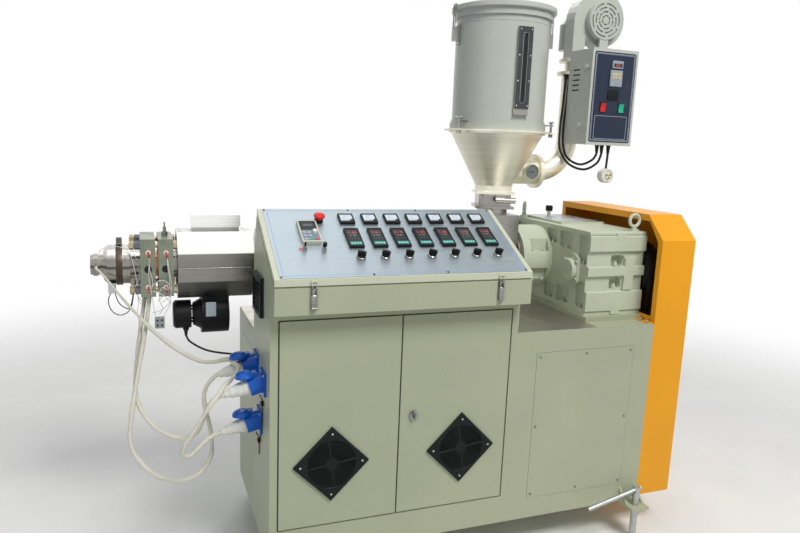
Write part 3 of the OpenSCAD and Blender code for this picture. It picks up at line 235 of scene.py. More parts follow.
# %% [markdown]
# ## Paint
# Sprayed enamel on steel looks flat only from afar. Close up it has orange peel, a slow drift in
# colour, dust in faint clouds, and small scuffs where the primer shows. One recipe makes every
# painted finish here; a casting gets the same paint over a much rougher skin.

# %% Painted steel and painted castings
def painted(name, colour, rough=0.38, peel=0.05, dust=0.12, dust_colour=(0.42, 0.40, 0.34),
            scuffs=0.5, shine=0.32):
    """Colour drifts by a slow noise; dust is a second noise above a threshold; scuffs are the
    rare peaks of a quick one; peel is a fine bump."""
    paint = Finish(name)
    drift = paint.noise(1.7, 4).above(0.3, 0.75)
    body = paint.blend(drift, shade(colour, 0.90), colour)
    cloud = paint.noise(6.0, 7, 0.62).above(0.52, 0.85)
    body = paint.blend(cloud * dust, body, dust_colour)
    spots = paint.noise(75.0, 5, 0.7).above(0.735, 0.76)
    body = paint.blend(spots * scuffs, body, shade(colour, 0.45))
    skin = paint.noise(420.0, 2)
    wave = paint.noise(7.0, 2)
    paint.set(Base_Color=body, Roughness=cloud * 0.22 + spots * 0.2 + rough,
              Normal=paint.bump(skin * 0.35 + wave, peel, 0.004), Specular_IOR_Level=shine)
    return keep(name, paint)


def cast(name, colour, rough=0.42):
    """Paint over a sand-cast skin: two noises for the grain, and dirt where the coarse one is
    low."""
    paint = Finish(name)
    coarse, fine = paint.noise(60.0, 5, 0.6), paint.noise(300.0, 4, 0.6)
    low = 1 - coarse.above(0.28, 0.42)
    drift = paint.noise(2.1, 3).above(0.35, 0.7)
    body = paint.blend(drift, shade(colour, 0.9), colour)
    body = paint.blend(low * 0.22, body, shade(colour, 0.5))
    paint.set(Base_Color=body, Roughness=low * 0.25 + rough, Specular_IOR_Level=0.3,
              Normal=paint.bump(coarse + fine * 0.35, 0.32, 0.004))
    return keep(name, paint)


painted("green_paint", (0.425, 0.455, 0.325))
painted("cream_paint", (0.600, 0.625, 0.490), rough=0.34, dust=0.08)
painted("white_paint", (0.500, 0.520, 0.480), rough=0.27, dust=0.14, peel=0.035)
painted("orange_paint", (0.880, 0.375, 0.006), rough=0.36, dust=0.03,
        dust_colour=(0.55, 0.38, 0.12))
painted("black_paint", (0.010, 0.010, 0.012), rough=0.42, dust=0.05,
        dust_colour=(0.16, 0.15, 0.13), shine=0.14)
cast("cast_green", (0.560, 0.610, 0.480))
cast("cast_black", (0.045, 0.045, 0.045), rough=0.6)
print("paints:", ", ".join(finishes))

# %% [markdown]
# ## Bare metal
# Rolled sheet is brushed one way, so its scratches are long in one direction and short in the
# others: a noise whose coordinates are squeezed along the grain. Turned parts carry rings round
# their axis, plating is dull with bright worn spots. Strong reflection needs something to
# reflect, so the floor and the lamps below matter as much as the finish.

# %% Brushed, turned and plated metal
def brushed(name, colour, rough=0.30, grain=(6, 420, 420), depth=0.10,
            stain=(0.30, 0.27, 0.22), stained=0.25, reflection_bands=None, patch=None, dull=0.0):
    """A stretched noise drives both the roughness and a faint bump; a slow noise lays stains.
    Bands (low, high, stops) are painted reflection by height: painted shade where the metal
    would mirror the dim room below, and painted highlight where it would mirror the lamps.
    A patch (low, high, colour) is a stretch of another metal along X, as nuts are on a bolt.
    Dull is the share that scatters light as paint does, on a satin finish."""
    metal = Finish(name)
    lines = metal.noise(1.0, 3, 0.6, at=metal.place(scale=grain))
    broad = metal.noise(1.0, 2, 0.5, at=metal.place(scale=tuple(g / 7 for g in grain)))
    stains = metal.noise(5.0, 7, 0.65).above(0.50, 0.80)
    body = metal.blend(lines.above(0.25, 0.8), shade(colour, 0.86), colour)
    body = metal.blend(stains * stained, body, stain)
    # Painted reflection: by height the metal is blended towards a near-black made from the stain
    # colour, for painted shade, or kept at its own colour, for painted highlight.
    if reflection_bands:
        low, high, stops = reflection_bands
        level = metal.node("ShaderNodeValToRGB", {"stops": stops}, {"Fac": metal.height(low, high)})
        body = metal.blend(level, shade(stain, 0.16), body)
    if patch:
        low, high, other = patch
        edge, along_x = 0.001, 0
        after = metal.height(low, low + edge, along_x)
        before = 1 - metal.height(high - edge, high, along_x)
        body = metal.blend(after * before, body, other)
    metal.set(Base_Color=body, Metallic=1.0 - dull - stains * 0.25,
              Roughness=lines * 0.16 + broad * 0.12 + stains * 0.2 + rough - 0.12,
              Normal=metal.bump(lines, depth, 0.0006))
    return keep(name, metal)


def plated(name, colour, rough=0.30, bloom=(0.45, 0.47, 0.42)):
    """Zinc or nickel: a mottled bloom over metal, with fine pits."""
    metal = Finish(name)
    mottle = metal.noise(22.0, 6, 0.65).above(0.40, 0.68)
    pits = metal.noise(240.0, 3)
    metal.set(Base_Color=metal.blend(mottle * 0.6, colour, bloom), Metallic=1.0 - mottle * 0.35,
              Roughness=mottle * 0.25 + rough, Normal=metal.bump(pits, 0.12, 0.001))
    return keep(name, metal)


print("four recipes, for paint, castings, brushed and plated metal")

# %% [markdown]
# ### The metals of this machine
# The hood, its vent and the die carry painted reflection by height: painted shade low down,
# where the metal would mirror the dim room, and painted highlight higher up, where it would
# mirror the lamps, as in the die's bright band between dark ones. Each list of stops gives the
# height as a share of the band and the level there, after the two ends.

# %% The metals
# Painted reflection stops: low levels are painted shade, and levels near 1 are painted highlight.
HOOD_REFLECTION_STOPS = [(0.0, 0.22), (1.0, 1.0), (0.27, 0.26), (0.30, 0.33), (0.49, 0.36), (0.50, 0.30),
              (0.69, 0.36), (0.71, 0.86)]
VENT_REFLECTION_STOPS = [(0.0, 0.25), (1.0, 1.0), (0.28, 0.42), (0.31, 0.95)]
DIE_REFLECTION_STOPS = [(0.0, 0.10), (1.0, 0.16), (0.156, 0.26), (0.257, 0.52), (0.366, 0.40),
             (0.381, 0.06), (0.412, 0.10), (0.436, 0.42), (0.544, 0.34), (0.622, 1.0),
             (0.785, 1.0), (0.80, 0.16)]
NUT_PATCH = (-0.9085, -0.8875, (0.14, 0.15, 0.17))

brushed("stainless_sheet", (0.36, 0.352, 0.32), rough=0.30)
brushed("hood_sheet", (0.62, 0.615, 0.585), rough=0.26, stain=(0.42, 0.39, 0.32), stained=0.2,
        reflection_bands=(0.904, 1.134, HOOD_REFLECTION_STOPS))
brushed("vent_sheet", (0.97, 0.97, 0.96), rough=0.22, stain=(0.60, 0.56, 0.48), stained=0.15,
        reflection_bands=(1.127, 1.187, VENT_REFLECTION_STOPS))
brushed("die_steel", (0.66, 0.645, 0.60), rough=0.16, grain=(160, 16, 16), depth=0.04,
        stain=(0.34, 0.28, 0.20), stained=0.5, reflection_bands=(0.945, 1.125, DIE_REFLECTION_STOPS))
brushed("strap_steel", (0.085, 0.068, 0.052), rough=0.34, grain=(40, 200, 200),
        stain=(0.03, 0.025, 0.02))
brushed("machined_steel", (0.36, 0.345, 0.32), rough=0.24, grain=(420, 40, 40),
        stain=(0.10, 0.075, 0.05), stained=0.6)
brushed("worn_top_sheet", (0.56, 0.54, 0.48), rough=0.34, grain=(8, 300, 300),
        stain=(0.13, 0.105, 0.07), stained=0.8)
brushed("polished_steel", (0.90, 0.87, 0.73), rough=0.36, grain=(2, 2, 90), depth=0.004,
        stain=(0.36, 0.32, 0.24), stained=0.12, dull=0.4)
brushed("brassy_steel", (0.50, 0.415, 0.26), rough=0.26, grain=(300, 40, 40),
        stain=(0.20, 0.14, 0.07), stained=0.5, patch=NUT_PATCH)
brushed("aluminium_plate", (0.375, 0.435, 0.475), rough=0.42, grain=(8, 500, 500), depth=0.05,
        stained=0.05)
plated("zinc_steel", (0.235, 0.25, 0.19), rough=0.24, bloom=(0.13, 0.185, 0.145))
plated("galvanised_steel", (0.48, 0.50, 0.50), rough=0.34, bloom=(0.38, 0.40, 0.40))
plated("bright_metal", (0.31, 0.31, 0.30), rough=0.14, bloom=(0.19, 0.185, 0.175))
print(len(finishes), "paints and metals")

# %% [markdown]
# ## Plastic, rubber and woven sleeve
# Moulded plastic is a clean colour with a very fine texture and soft highlights. The heater
# cables run in a woven glass sleeve: two sets of threads that pass over and under each other.
# The weave is a product of two waves on the sleeve's own UV map, so that it follows every bend.

# %% Plastic, rubber and sleeve
def moulded(name, colour, rough=0.35, texture=0.06, grime=0.15, shine=0.25):
    """A clean colour, a fine spark-eroded texture as bump, and a little grime."""
    plastic = Finish(name)
    cloud = plastic.noise(30.0, 5, 0.6).above(0.5, 0.8)
    grimy = tuple(0.55 * c + 0.06 for c in colour)
    plastic.set(Base_Color=plastic.blend(cloud * grime, colour, grimy),
                Roughness=cloud * 0.2 + rough, Specular_IOR_Level=shine,
                Normal=plastic.bump(plastic.noise(900.0, 2), texture, 0.0008))
    return keep(name, plastic)


def woven(name, colour, dark, across=16.0, lengthwise=95.0):
    """Height is |sin(across u) sin(along v)|, the crossing of two sets of threads."""
    sleeve = Finish(name)
    u, v = (sleeve.node("ShaderNodeSeparateXYZ", None,
                        {"Vector": sleeve.node("ShaderNodeTexCoord", out="UV")}, out=i)
            for i in (0, 1))
    warp = (u * (across * math.pi)).sum("SINE").sum("ABSOLUTE")
    weft = (v * (lengthwise * math.pi)).sum("SINE").sum("ABSOLUTE")
    weave = warp * weft
    stain = sleeve.noise(14.0, 6, 0.65).above(0.45, 0.75)
    body = sleeve.blend(weave.above(0.05, 0.6), dark, colour)
    body = sleeve.blend(stain * 0.35, body, (0.50, 0.47, 0.36))
    sleeve.set(Base_Color=body, Roughness=0.72 - weave * 0.1, Sheen_Weight=0.15,
               Normal=sleeve.bump(weave, 0.6, 0.0012))
    return keep(name, sleeve)


moulded("black_plastic", (0.012, 0.013, 0.014), rough=0.40, shine=0.12)
moulded("red_plastic", (0.62, 0.020, 0.018), rough=0.22)
moulded("blue_plastic", (0.010, 0.115, 0.56), rough=0.24)
moulded("white_plastic", (0.74, 0.745, 0.70), rough=0.30)
moulded("black_rubber", (0.016, 0.016, 0.017), rough=0.62, texture=0.15)
woven("cream_sleeve", (0.90, 0.885, 0.77), (0.66, 0.64, 0.53))
print(len(finishes), "finishes")

# %% Every node takes the finish of its slot
# A few nodes differ from the rest of their slot, because they are worn, hot or polished, or carry
# painted reflection and painted shade by height, as the hood, its vent and the die do.
slots = {part["node"]: part["material_slot"] for part in frame["record"]["subparts"]}
special = {
    "base_top_sheet": "worn_top_sheet", "hopper_cone": "polished_steel",
    "air_duct": "polished_steel", "barrel_hood": "hood_sheet", "hood_vent": "vent_sheet",
    "die_head": "die_steel", "die_bolts": "brassy_steel", "feed_throat": "machined_steel",
}
for name, part in nodes.items():
    part.data.materials.clear()
    part.data.materials.append(finishes[special.get(name, slots[name])])
print(len(slots), "nodes dressed")

# %% [markdown]
# ## Shapes from arrays
# Every new piece below is a surface: a sheet of points with rows and columns, bent to shape by a
# formula. Two forms cover nearly all of them. A slab is a rounded outline carried up through a
# few heights, shrinking where an edge is eased. A tube is a circle carried along a path.
# Points come as whole numpy arrays, and the faces between them are the same for every sheet.

# %% Places, faces and pieces
MM = 0.001
CORNER = np.array([-0.534, -0.325, 0.0])
SHARP_ANGLE = math.radians(38)


def spot(x, y, z):
    """A point given in mm from the cabinet's corner, the door plane and the floor."""
    return np.array([x, y, z], float) / 1000 + CORNER


def sheet_faces(rows, columns, closed=True):
    """The quads between the points of a sheet, row by row. Closed joins the last column to the
    first."""
    r = np.arange(rows - 1)[:, None] * columns
    c = np.arange(columns if closed else columns - 1)[None, :]
    d = (c + 1) % columns
    return np.stack([r + c, r + d, r + columns + d, r + columns + c], -1).reshape(-1, 4)


def loop_faces(rows, columns):
    """A sheet that closes both ways: the last row is joined to the first as well."""
    over_the_end = sheet_faces(rows + 1, columns)[-columns:] % (rows * columns)
    return np.concatenate([sheet_faces(rows, columns), over_the_end]).tolist()


def join(parts):
    """Several (points, faces) as one."""
    starts = np.cumsum([0] + [len(points) for points, _ in parts[:-1]])
    faces = []
    for (_, own), start in zip(parts, starts):
        faces += [[i + start for i in face] for face in own]
    return np.concatenate([points for points, _ in parts]), faces


def piece(name, shape, body, slot, finish=None, smooth=True, uv=None):
    """Puts points and faces into a mesh, dresses it, and lets it ride on a body. Where uv is
    given, it is a function that works out a place on the map for every corner of a face."""
    points, faces = shape
    mesh = bpy.data.meshes.new(name)
    mesh.from_pydata(np.asarray(points).tolist(), [], [list(map(int, f)) for f in faces])
    mesh.polygons.foreach_set("use_smooth", np.full(len(mesh.polygons), smooth))
    if uv is not None:
        layer = mesh.uv_layers.new(name="UVMap")
        loops = np.empty(len(mesh.loops), np.int64)
        mesh.loops.foreach_get("vertex_index", loops)
        layer.data.foreach_set("uv", uv(loops, mesh).ravel())
    mesh.materials.append(finish or finishes[slot])
    made = bpy.data.objects.new(name, mesh)
    scene.collection.objects.link(made)
    if smooth:
        mesh.set_sharp_from_angle(angle=SHARP_ANGLE)
    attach(made, body)
    return made


print("four rows of three points make", len(sheet_faces(4, 3)), "quads")

# %% Slabs and turned forms
def outline(w, h, r, steps=5):
    """A rectangle with round corners, anticlockwise: four quarter circles of radius r."""
    a = np.linspace(0, math.pi / 2, steps)
    turn = np.concatenate([a + k * math.pi / 2 for k in range(4)])
    x = np.repeat([1, -1, -1, 1], steps) * (w / 2 - r) + r * np.cos(turn)
    y = np.repeat([1, 1, -1, -1], steps) * (h / 2 - r) + r * np.sin(turn)
    return np.stack([x, y], -1)


def at_heights(rings):
    """The points of flat outlines, each lifted to its height."""
    return np.concatenate([np.column_stack([ring, np.full(len(ring), z)]) for ring, z in rings])


def slab(w, h, t, r, ease, steps=5, dome=0.0):
    """The outline at four heights, drawn in by ease at the bottom and the top, and a flat face
    over each end. Dome lifts the middle of the top by a parabola."""
    r = min(max(r, ease * 1.01), w / 2 * 0.999, h / 2 * 0.999)
    flat = outline(w, h, r, steps)
    inner = outline(w - 2 * ease, h - 2 * ease, r - ease, steps)
    rings = [(inner, 0), (flat, ease), (flat, t - ease), (inner, t)]
    if dome:
        rings += [(inner * k, t + dome * (1 - k * k)) for k in (0.8, 0.55, 0.3)]
    n, last = len(flat), (len(rings) - 1) * len(flat)
    ends = [list(range(n - 1, -1, -1)), list(range(last, last + n))]
    return at_heights(rings), sheet_faces(len(rings), n).tolist() + ends


def turned(profile, n=32):
    """A profile of (radius, height) turned about Z. Where the radius is 0 it shrinks to a speck,
    so that every row keeps its n points."""
    profile = np.asarray(profile, float)
    a = np.linspace(0, 2 * math.pi, n, endpoint=False)
    r, z = np.maximum(profile[:, :1], 1e-7), np.repeat(profile[:, 1:], n, 1)
    points = np.stack([r * np.cos(a), r * np.sin(a), z], -1).reshape(-1, 3)
    return points, sheet_faces(len(profile), n).tolist()


def set_down(shape, place, x=(1, 0, 0), y=(0, 1, 0), turn=0.0):
    """Carries a shape from the origin to a place, with its X, Y and Z along given directions."""
    points, faces = shape
    x, y = np.asarray(x, float), np.asarray(y, float)
    c, s = math.cos(turn), math.sin(turn)
    across, up = c * x + s * y, c * y - s * x
    out = np.cross(across, up)
    return points @ np.stack([across, up, out]) + np.asarray(place), faces


print("a slab has", len(slab(0.01, 0.01, 0.002, 0.001, 0.0004)[0]), "points")

# %% Paths and tubes
def soft_path(points, step):
    """Catmull-Rom: between two points the curve is a cubic whose slope at each is half the step
    from the point before to the point after. Spaced evenly along its length afterwards."""
    p = np.asarray(points, float)
    p = np.concatenate([[2 * p[0] - p[1]], p, [2 * p[-1] - p[-2]]])
    t = np.linspace(0, 1, 24, endpoint=False)[None, :, None]
    a, b, c, d = (p[i:len(p) - 3 + i, None] for i in range(4))
    fine = 0.5 * (2 * b + (c - a) * t + (2 * a - 5 * b + 4 * c - d) * t ** 2
                  + (3 * b - a - 3 * c + d) * t ** 3)
    fine = np.concatenate([fine.reshape(-1, 3), p[-2:-1]])
    run = np.concatenate([[0], np.cumsum(np.linalg.norm(np.diff(fine, axis=0), axis=1))])
    even = np.linspace(0, run[-1], max(8, int(run[-1] / step)))
    return np.stack([np.interp(even, run, fine[:, k]) for k in range(3)], -1), run[-1]


def along(path, radius, sides):
    """A circle of that radius at each point of the path, square to it, with a flat face at each
    end. The circle's first spoke keeps to the side of the last one, so that the tube doesn't
    twist."""
    path = np.asarray(path, float)
    ahead = np.gradient(path, axis=0)
    ahead /= np.linalg.norm(ahead, axis=1, keepdims=True)
    side = np.empty_like(path)
    first = np.cross(ahead[0], [0, 0, 1] if abs(ahead[0, 2]) < 0.9 else [0, 1, 0])
    for i, way in enumerate(ahead):
        first = first - way * (first @ way)
        first = side[i] = first / np.linalg.norm(first)
    up = np.cross(ahead, side)
    a = np.linspace(0, 2 * math.pi, sides, endpoint=False)[None, :, None]
    r = np.broadcast_to(np.asarray(radius, float), len(path))[:, None, None]
    points = path[:, None] + r * (np.cos(a) * side[:, None] + np.sin(a) * up[:, None])
    n = len(path) * sides
    ends = [list(range(sides - 1, -1, -1)), list(range(n - sides, n))]
    return points.reshape(-1, 3), sheet_faces(len(path), sides).tolist() + ends


print("a tube of 10 steps has", len(along(np.arange(30).reshape(10, 3), 1, 12)[1]), "faces")

# %% [markdown]
# ### The same forms in mm
# Small fittings are measured in mm, so these helpers take mm. Most fittings are a few turned or
# round-cornered forms set on a face of the machine. Each face is named by its two directions,
# so that the third one points out of it.

# %% Faces, plates, screws and wires
FRONT = ((1, 0, 0), (0, 0, 1))
LEFT = ((0, -1, 0), (0, 0, 1))
TOP = ((1, 0, 0), (0, 1, 0))


def at(shape, face, x, y, z, turn=0.0):
    """Sets a shape on a face at a point in mm from the cabinet's corner; turn is in degrees."""
    return set_down(shape, spot(x, y, z), *face, math.radians(turn))


def mm(profile, n=32):
    """A turned form whose profile is in mm."""
    return turned(np.asarray(profile, float) * MM, n)


def plate(w, h, t, r=1.0, ease=0.4, steps=5, dome=0.0):
    """A slab in mm."""
    return slab(w * MM, h * MM, t * MM, r * MM, ease * MM, steps, dome * MM)


def disc(radius, side, middle, n):
    """A low button in mm: as high as side at its edge, and as middle over its centre."""
    return mm([(0, 0), (radius, 0), (radius, side), (0, middle)], n)


def hex_head(d, h):
    """A hexagon with its corners turned down, as on every bolt."""
    return mm([(0, 0), (d / 2, 0), (d / 2, h * 0.85), (d * 0.44, h), (0, h)], 6)


def pan_head(d):
    """A low round screw head with a small dimple for its cross."""
    return mm([(0, 0), (d / 2, 0), (d * 0.48, d * 0.16), (d * 0.34, d * 0.27),
               (d * 0.13, d * 0.30), (d * 0.10, d * 0.2), (0, d * 0.2)], 16)


def wire(route, d, sides, step):
    """A thin wire through points in mm, with so many sides and a ring at every step."""
    path, _ = soft_path([spot(*p) for p in route], step * MM)
    return along(path, d / 2 * MM, sides)


print("a pan head has", len(pan_head(8)[0]), "points")

# %% [markdown]
# ## Cords
# The heater cables leave the die and its clamp plates, hang in loops beside the cabinet and end
# in the plugs. Each is a fixed length of woven sleeve with its wires inside, so it bulges a
# little here and there. The two black leads of the dryer hang in a loop under its control box.
# A cord is a tube along a smooth path through a few points; the points are those of the solids.

# %% Cords
CORD_SIDES = 14
LAST_STRETCH = 0.05
BARE_SHARE = 0.56


def cord(name, route, diameter, slot, swell=0.0, slim=0.0):
    """A tube whose radius swells by two slow waves along its length, and not at its ends. Up to
    the share slim it is thinner, where the wires run bare before the sleeve holds them."""
    path, length = soft_path([spot(*p) for p in route], step=diameter * 0.45)
    s = np.linspace(0, 1, len(path))
    fade = np.minimum(1, np.minimum(s, 1 - s) * length / LAST_STRETCH)
    slow, quick = np.sin(s * length * 31 + len(name)), np.sin(s * length * 67 + 2.0)
    radius = diameter / 2 * (1 + swell * fade * (0.6 * slow + 0.4 * quick))
    if slim:
        radius = radius * (BARE_SHARE + (1 - BARE_SHARE) * np.clip((s - slim) / 0.012, 0, 1))

    def uv(loops, mesh):
        """u runs once round the tube, v along it in units of ten diameters; the seam's last
        column ends at 1."""
        column, row = loops % CORD_SIDES, loops // CORD_SIDES
        u, v = column / CORD_SIDES, s[row] * length / (diameter * 10)
        start = np.empty(len(mesh.polygons), np.int64)
        total = np.empty(len(mesh.polygons), np.int64)
        mesh.polygons.foreach_get("loop_start", start)
        mesh.polygons.foreach_get("loop_total", total)
        spread = np.maximum.reduceat(column, start) - np.minimum.reduceat(column, start)
        wraps = np.repeat(spread == CORD_SIDES - 1, total)
        return np.stack([np.where(wraps & (column == 0), 1.0, u), v], -1)

    made = piece(name, along(path, radius, CORD_SIDES), "machine", slot, uv=uv)
    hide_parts(name.replace("_sleeve", "").replace("_cord", ""))
    print(f"{name}: {length:.2f} m long")


# %% The heater cables and the dryer's leads
route_a = [
    (-487, 417.6, 1018), (-487, 398, 1016), (-462, 384, 990), (-400, 375, 905), (-320, 362, 809),
    (-240, 330, 745), (-180, 304, 714), (-135, 290, 711), (-99, 276, 721), (-82.5, 240, 727.3),
    (-77.5, 208, 728.2), (-68, 186, 719), (-92, 150, 698), (-122, 100, 693), (-148, 74, 668),
    (-175, 62, 638), (-228, 74, 546), (-247, 84, 508), (-247, 100, 478), (-222, 118, 470),
    (-192, 136, 490), (-164, 150, 506), (-134.9, 163, 511.9), (-114.6, 163, 517.4),
]
route_b = [
    (-331, 400, 922.6), (-331, 400, 900), (-342, 386, 820), (-366, 350, 700), (-392, 290, 562),
    (-400, 270, 480), (-384, 256, 424), (-340, 245, 368), (-288, 240, 336), (-235, 238, 328),
    (-180, 238, 354), (-150, 238, 410), (-151, 237, 484), (-165, 236, 559), (-172, 235.5, 610),
    (-162, 235, 650), (-133.6, 235, 682.3), (-114.6, 235, 687.4),
]
route_c = [
    (-345, 430, 922.6), (-345, 430, 900), (-362, 396, 790), (-380, 350, 640), (-370, 310, 574),
    (-335, 280, 520), (-288, 250, 490), (-237, 222, 482), (-201, 196, 508), (-180, 170, 560),
    (-167, 138, 614), (-152, 110, 648), (-133.6, 95, 663.3), (-114.6, 95, 668.4),
]
route_lead_outer = [
    (1244, 436, 1744.6), (1244, 436, 1715), (1238, 432, 1620), (1231, 429, 1530),
    (1234, 422, 1450), (1262, 395, 1396), (1304, 352, 1377), (1340, 322, 1402),
    (1353, 313.5, 1440), (1353, 313.5, 1475.2),
]
route_lead_inner = [
    (1256, 429, 1744.6), (1256, 429, 1715), (1251, 427, 1640), (1245, 427, 1540),
    (1248, 424, 1470), (1262, 406, 1419), (1293, 365, 1396), (1322, 330, 1414),
    (1333, 317, 1441), (1333, 317, 1475.2),
]
route_plug_lead = [(1376.6, 304, 1475.2), (1376.6, 304, 1431), (1374, 304, 1385)]
route_blower = [
    (-212, 443, 786.6), (-212, 443, 766), (-196, 430, 742), (-140, 403, 716), (-50, 386, 702),
    (-0.8, 385, 700),
]
CABLE, LEAD, THIN_LEAD = 0.014, 0.009, 0.007

cord("heater_cable_a_sleeve", route_a, CABLE, "cream_sleeve", 0.16, 0.19)
cord("heater_cable_b_sleeve", route_b, CABLE, "cream_sleeve", 0.18)
cord("heater_cable_c_sleeve", route_c, CABLE, "cream_sleeve", 0.14)
cord("dryer_lead_outer_cord", route_lead_outer, LEAD, "black_rubber")
cord("dryer_lead_inner_cord", route_lead_inner, LEAD, "black_rubber")
cord("dryer_plug_lead_cord", route_plug_lead, LEAD, "black_rubber")
cord("blower_lead_cord", route_blower, THIN_LEAD, "black_rubber")

# %% [markdown]
# ## Floor and light
# A studio for a machine: one pale floor, a large soft lamp high up in front on the right, a weak
# one on the left, one behind, one straight above, and a white room all round. Light Path tells
# camera, glossy and transmission rays from the rest, so what the camera and the metal see is
# plain white, while the light that falls on the machine stays at its own level.

# %% Floor
PALE, PALER = (0.88, 0.88, 0.87), (0.92, 0.92, 0.91)
FLOOR_HALF = 40

floor = Finish("floor")
speck = floor.noise(3.0, 6, 0.6).above(0.3, 0.75)
here = floor.node("ShaderNodeTexCoord", out="Object")
reach = floor.node("ShaderNodeVectorMath", {"operation": "LENGTH"}, {0: here}, out="Value")
floor.set(Base_Color=floor.blend(speck, PALE, PALER), Roughness=0.75, Specular_IOR_Level=0.1,
          Alpha=1 - reach.above(1.9, 4.6))
floor_points = np.array([(-1, -1, 0), (1, -1, 0), (1, 1, 0), (-1, 1, 0)], float) * FLOOR_HALF
ground = piece("floor", (floor_points, [(0, 1, 2, 3)]), "machine", "black_paint",
               floor.material, smooth=False)
ground.parent = None
print("the floor fades out between 1.9 and 4.6 m")

# %% World and lamps
world = bpy.data.worlds.new("studio")
world.use_nodes = True
scene.world = world


def sky(kind, settings=None, inputs=None, out=0):
    """Adds a node to the world, sets its values and links what is linked; returns an output."""
    made = world.node_tree.nodes.new(kind)
    for key, value in (settings or {}).items():
        setattr(made, key, value)
    for key, value in (inputs or {}).items():
        if isinstance(value, bpy.types.NodeSocket):
            world.node_tree.links.new(value, made.inputs[key])
        else:
            made.inputs[key].default_value = value
    return made.outputs[out]


rays = [sky("ShaderNodeLightPath", out=kind)
        for kind in ("Is Camera Ray", "Is Glossy Ray", "Is Transmission Ray")]
either = sky("ShaderNodeMath", {"operation": "MAXIMUM"}, {0: rays[0], 1: rays[1]})
seen = sky("ShaderNodeMath", {"operation": "MAXIMUM"}, {0: either, 1: rays[2]})
plain = sky("ShaderNodeBackground", None, {"Color": (0.95, 0.98, 1.0, 1), "Strength": 0.24})
white = sky("ShaderNodeBackground", None, {"Color": (1, 1, 1, 1), "Strength": 1.0})
both = sky("ShaderNodeMixShader", None, {0: seen, 1: plain, 2: white})
world.node_tree.links.new(both, world.node_tree.nodes["World Output"].inputs["Surface"])


def lamp(name, place, target, size, power, colour=(1, 1, 1)):
    """A square lamp that faces its target."""
    light = bpy.data.lights.new(name, "AREA")
    light.size, light.energy, light.color = size, power, colour
    made = bpy.data.objects.new(name, light)
    scene.collection.objects.link(made)
    aim = (Vector(target) - Vector(place)).to_track_quat("-Z", "Y")
    made.matrix_world = Matrix.Translation(place) @ aim.to_matrix().to_4x4()


lamp("key lamp", (0.9, -3.3, 4.9), (0.1, 0.0, 0.8), 1.8, 203, (1.0, 0.985, 0.95))
lamp("fill lamp", (-3.6, -2.6, 2.4), (-0.2, 0.0, 0.9), 2.6, 18, (0.95, 0.98, 1.0))
lamp("back lamp", (0.4, 3.4, 4.2), (0.2, 0.0, 1.2), 2.4, 55)
lamp("top lamp", (-0.4, -0.3, 5.0), (-0.4, 0.1, 0.9), 2.6, 22)
print("stage set")

# %% [markdown]
# ## The control panel
# The sloping plate carries seven heating zones in a row. Each zone has a small moving-coil meter,
# a controller with two rows of digits, and a selector switch. The solids hold the housings, and
# everything printed, lit or clear is laid on here. All of it is placed by two numbers on the
# slope, across and up, so one function turns those into a place in the room.

# %% Places on the slope
SLOPE = math.radians(28.7)
UP_SLOPE = np.array([0.0, math.cos(SLOPE), math.sin(SLOPE)])
OUT = np.array([0.0, -math.sin(SLOPE), math.cos(SLOPE)])
SLOPE_FOOT = (-64, 1054)
FACE = 1.65
ZONE_FIRST, ZONE_STEP, ZONE_COUNT = 281, 79.1, 7
ZONES = [ZONE_FIRST + ZONE_STEP * i for i in range(ZONE_COUNT)]


def on_panel(shape, x, s, n=0.0, turn=0.0):
    """x mm across, s mm up the slope and n mm out of the lid's face; turn in degrees about the
    way out. FACE is how far the plate's own face stands out."""
    place = spot(x, *SLOPE_FOOT) + (s * UP_SLOPE + n * OUT) * MM
    return set_down(shape, place, (1, 0, 0), UP_SLOPE, math.radians(turn))


def on_lid(name, shapes, slot, finish=None):
    """One or more placed shapes as a piece that goes with the console's lid."""
    shape = join(shapes) if isinstance(shapes, list) else shapes
    return piece(name, shape, "lid", slot, finishes[finish] if finish else None)


print("seven zones from", ZONES[0], "to", round(ZONES[-1], 1), "mm")

# %% Lit, printed and pressed
def glowing(name, colour, strength):
    """A lit display or lamp: a dark body that gives light of its own."""
    lit = Finish(name)
    lit.set(Base_Color=shade(colour, 0.2), Emission_Color=colour, Emission_Strength=strength,
            Roughness=0.3)
    return keep(name, lit)


glowing("red_digits", (0.90, 0.12, 0.10), 0.8)
glowing("dim_digits", (0.42, 0.50, 0.47), 0.45)
moulded("dial_white", (0.60, 0.66, 0.74), rough=0.28, grime=0.05)
moulded("display_dark", (0.030, 0.036, 0.040), rough=0.12, grime=0.1)
moulded("key_grey", (0.40, 0.45, 0.50), rough=0.45)
moulded("key_field", (0.20, 0.25, 0.31), rough=0.5)
moulded("teal_strip", (0.03, 0.30, 0.27), rough=0.3)
moulded("pale_key", (0.45, 0.66, 0.63), rough=0.4)
moulded("green_key", (0.02, 0.42, 0.24), rough=0.35)
moulded("red_key", (0.66, 0.05, 0.10), rough=0.35)
moulded("blue_line", (0.20, 0.36, 0.74), rough=0.5)

SEGMENTS = {0: "abcdef", 1: "bc", 2: "abged", 3: "abgcd", 4: "fgbc", 5: "afgcd", 6: "afgecd",
            7: "abc", 8: "abcdefg", 9: "abcdfg"}
BARS = {"a": (0, 1, False), "b": (1, 0.5, True), "c": (1, -0.5, True), "d": (0, -1, False),
        "e": (-1, -0.5, True), "f": (-1, 0.5, True), "g": (0, 0, False)}


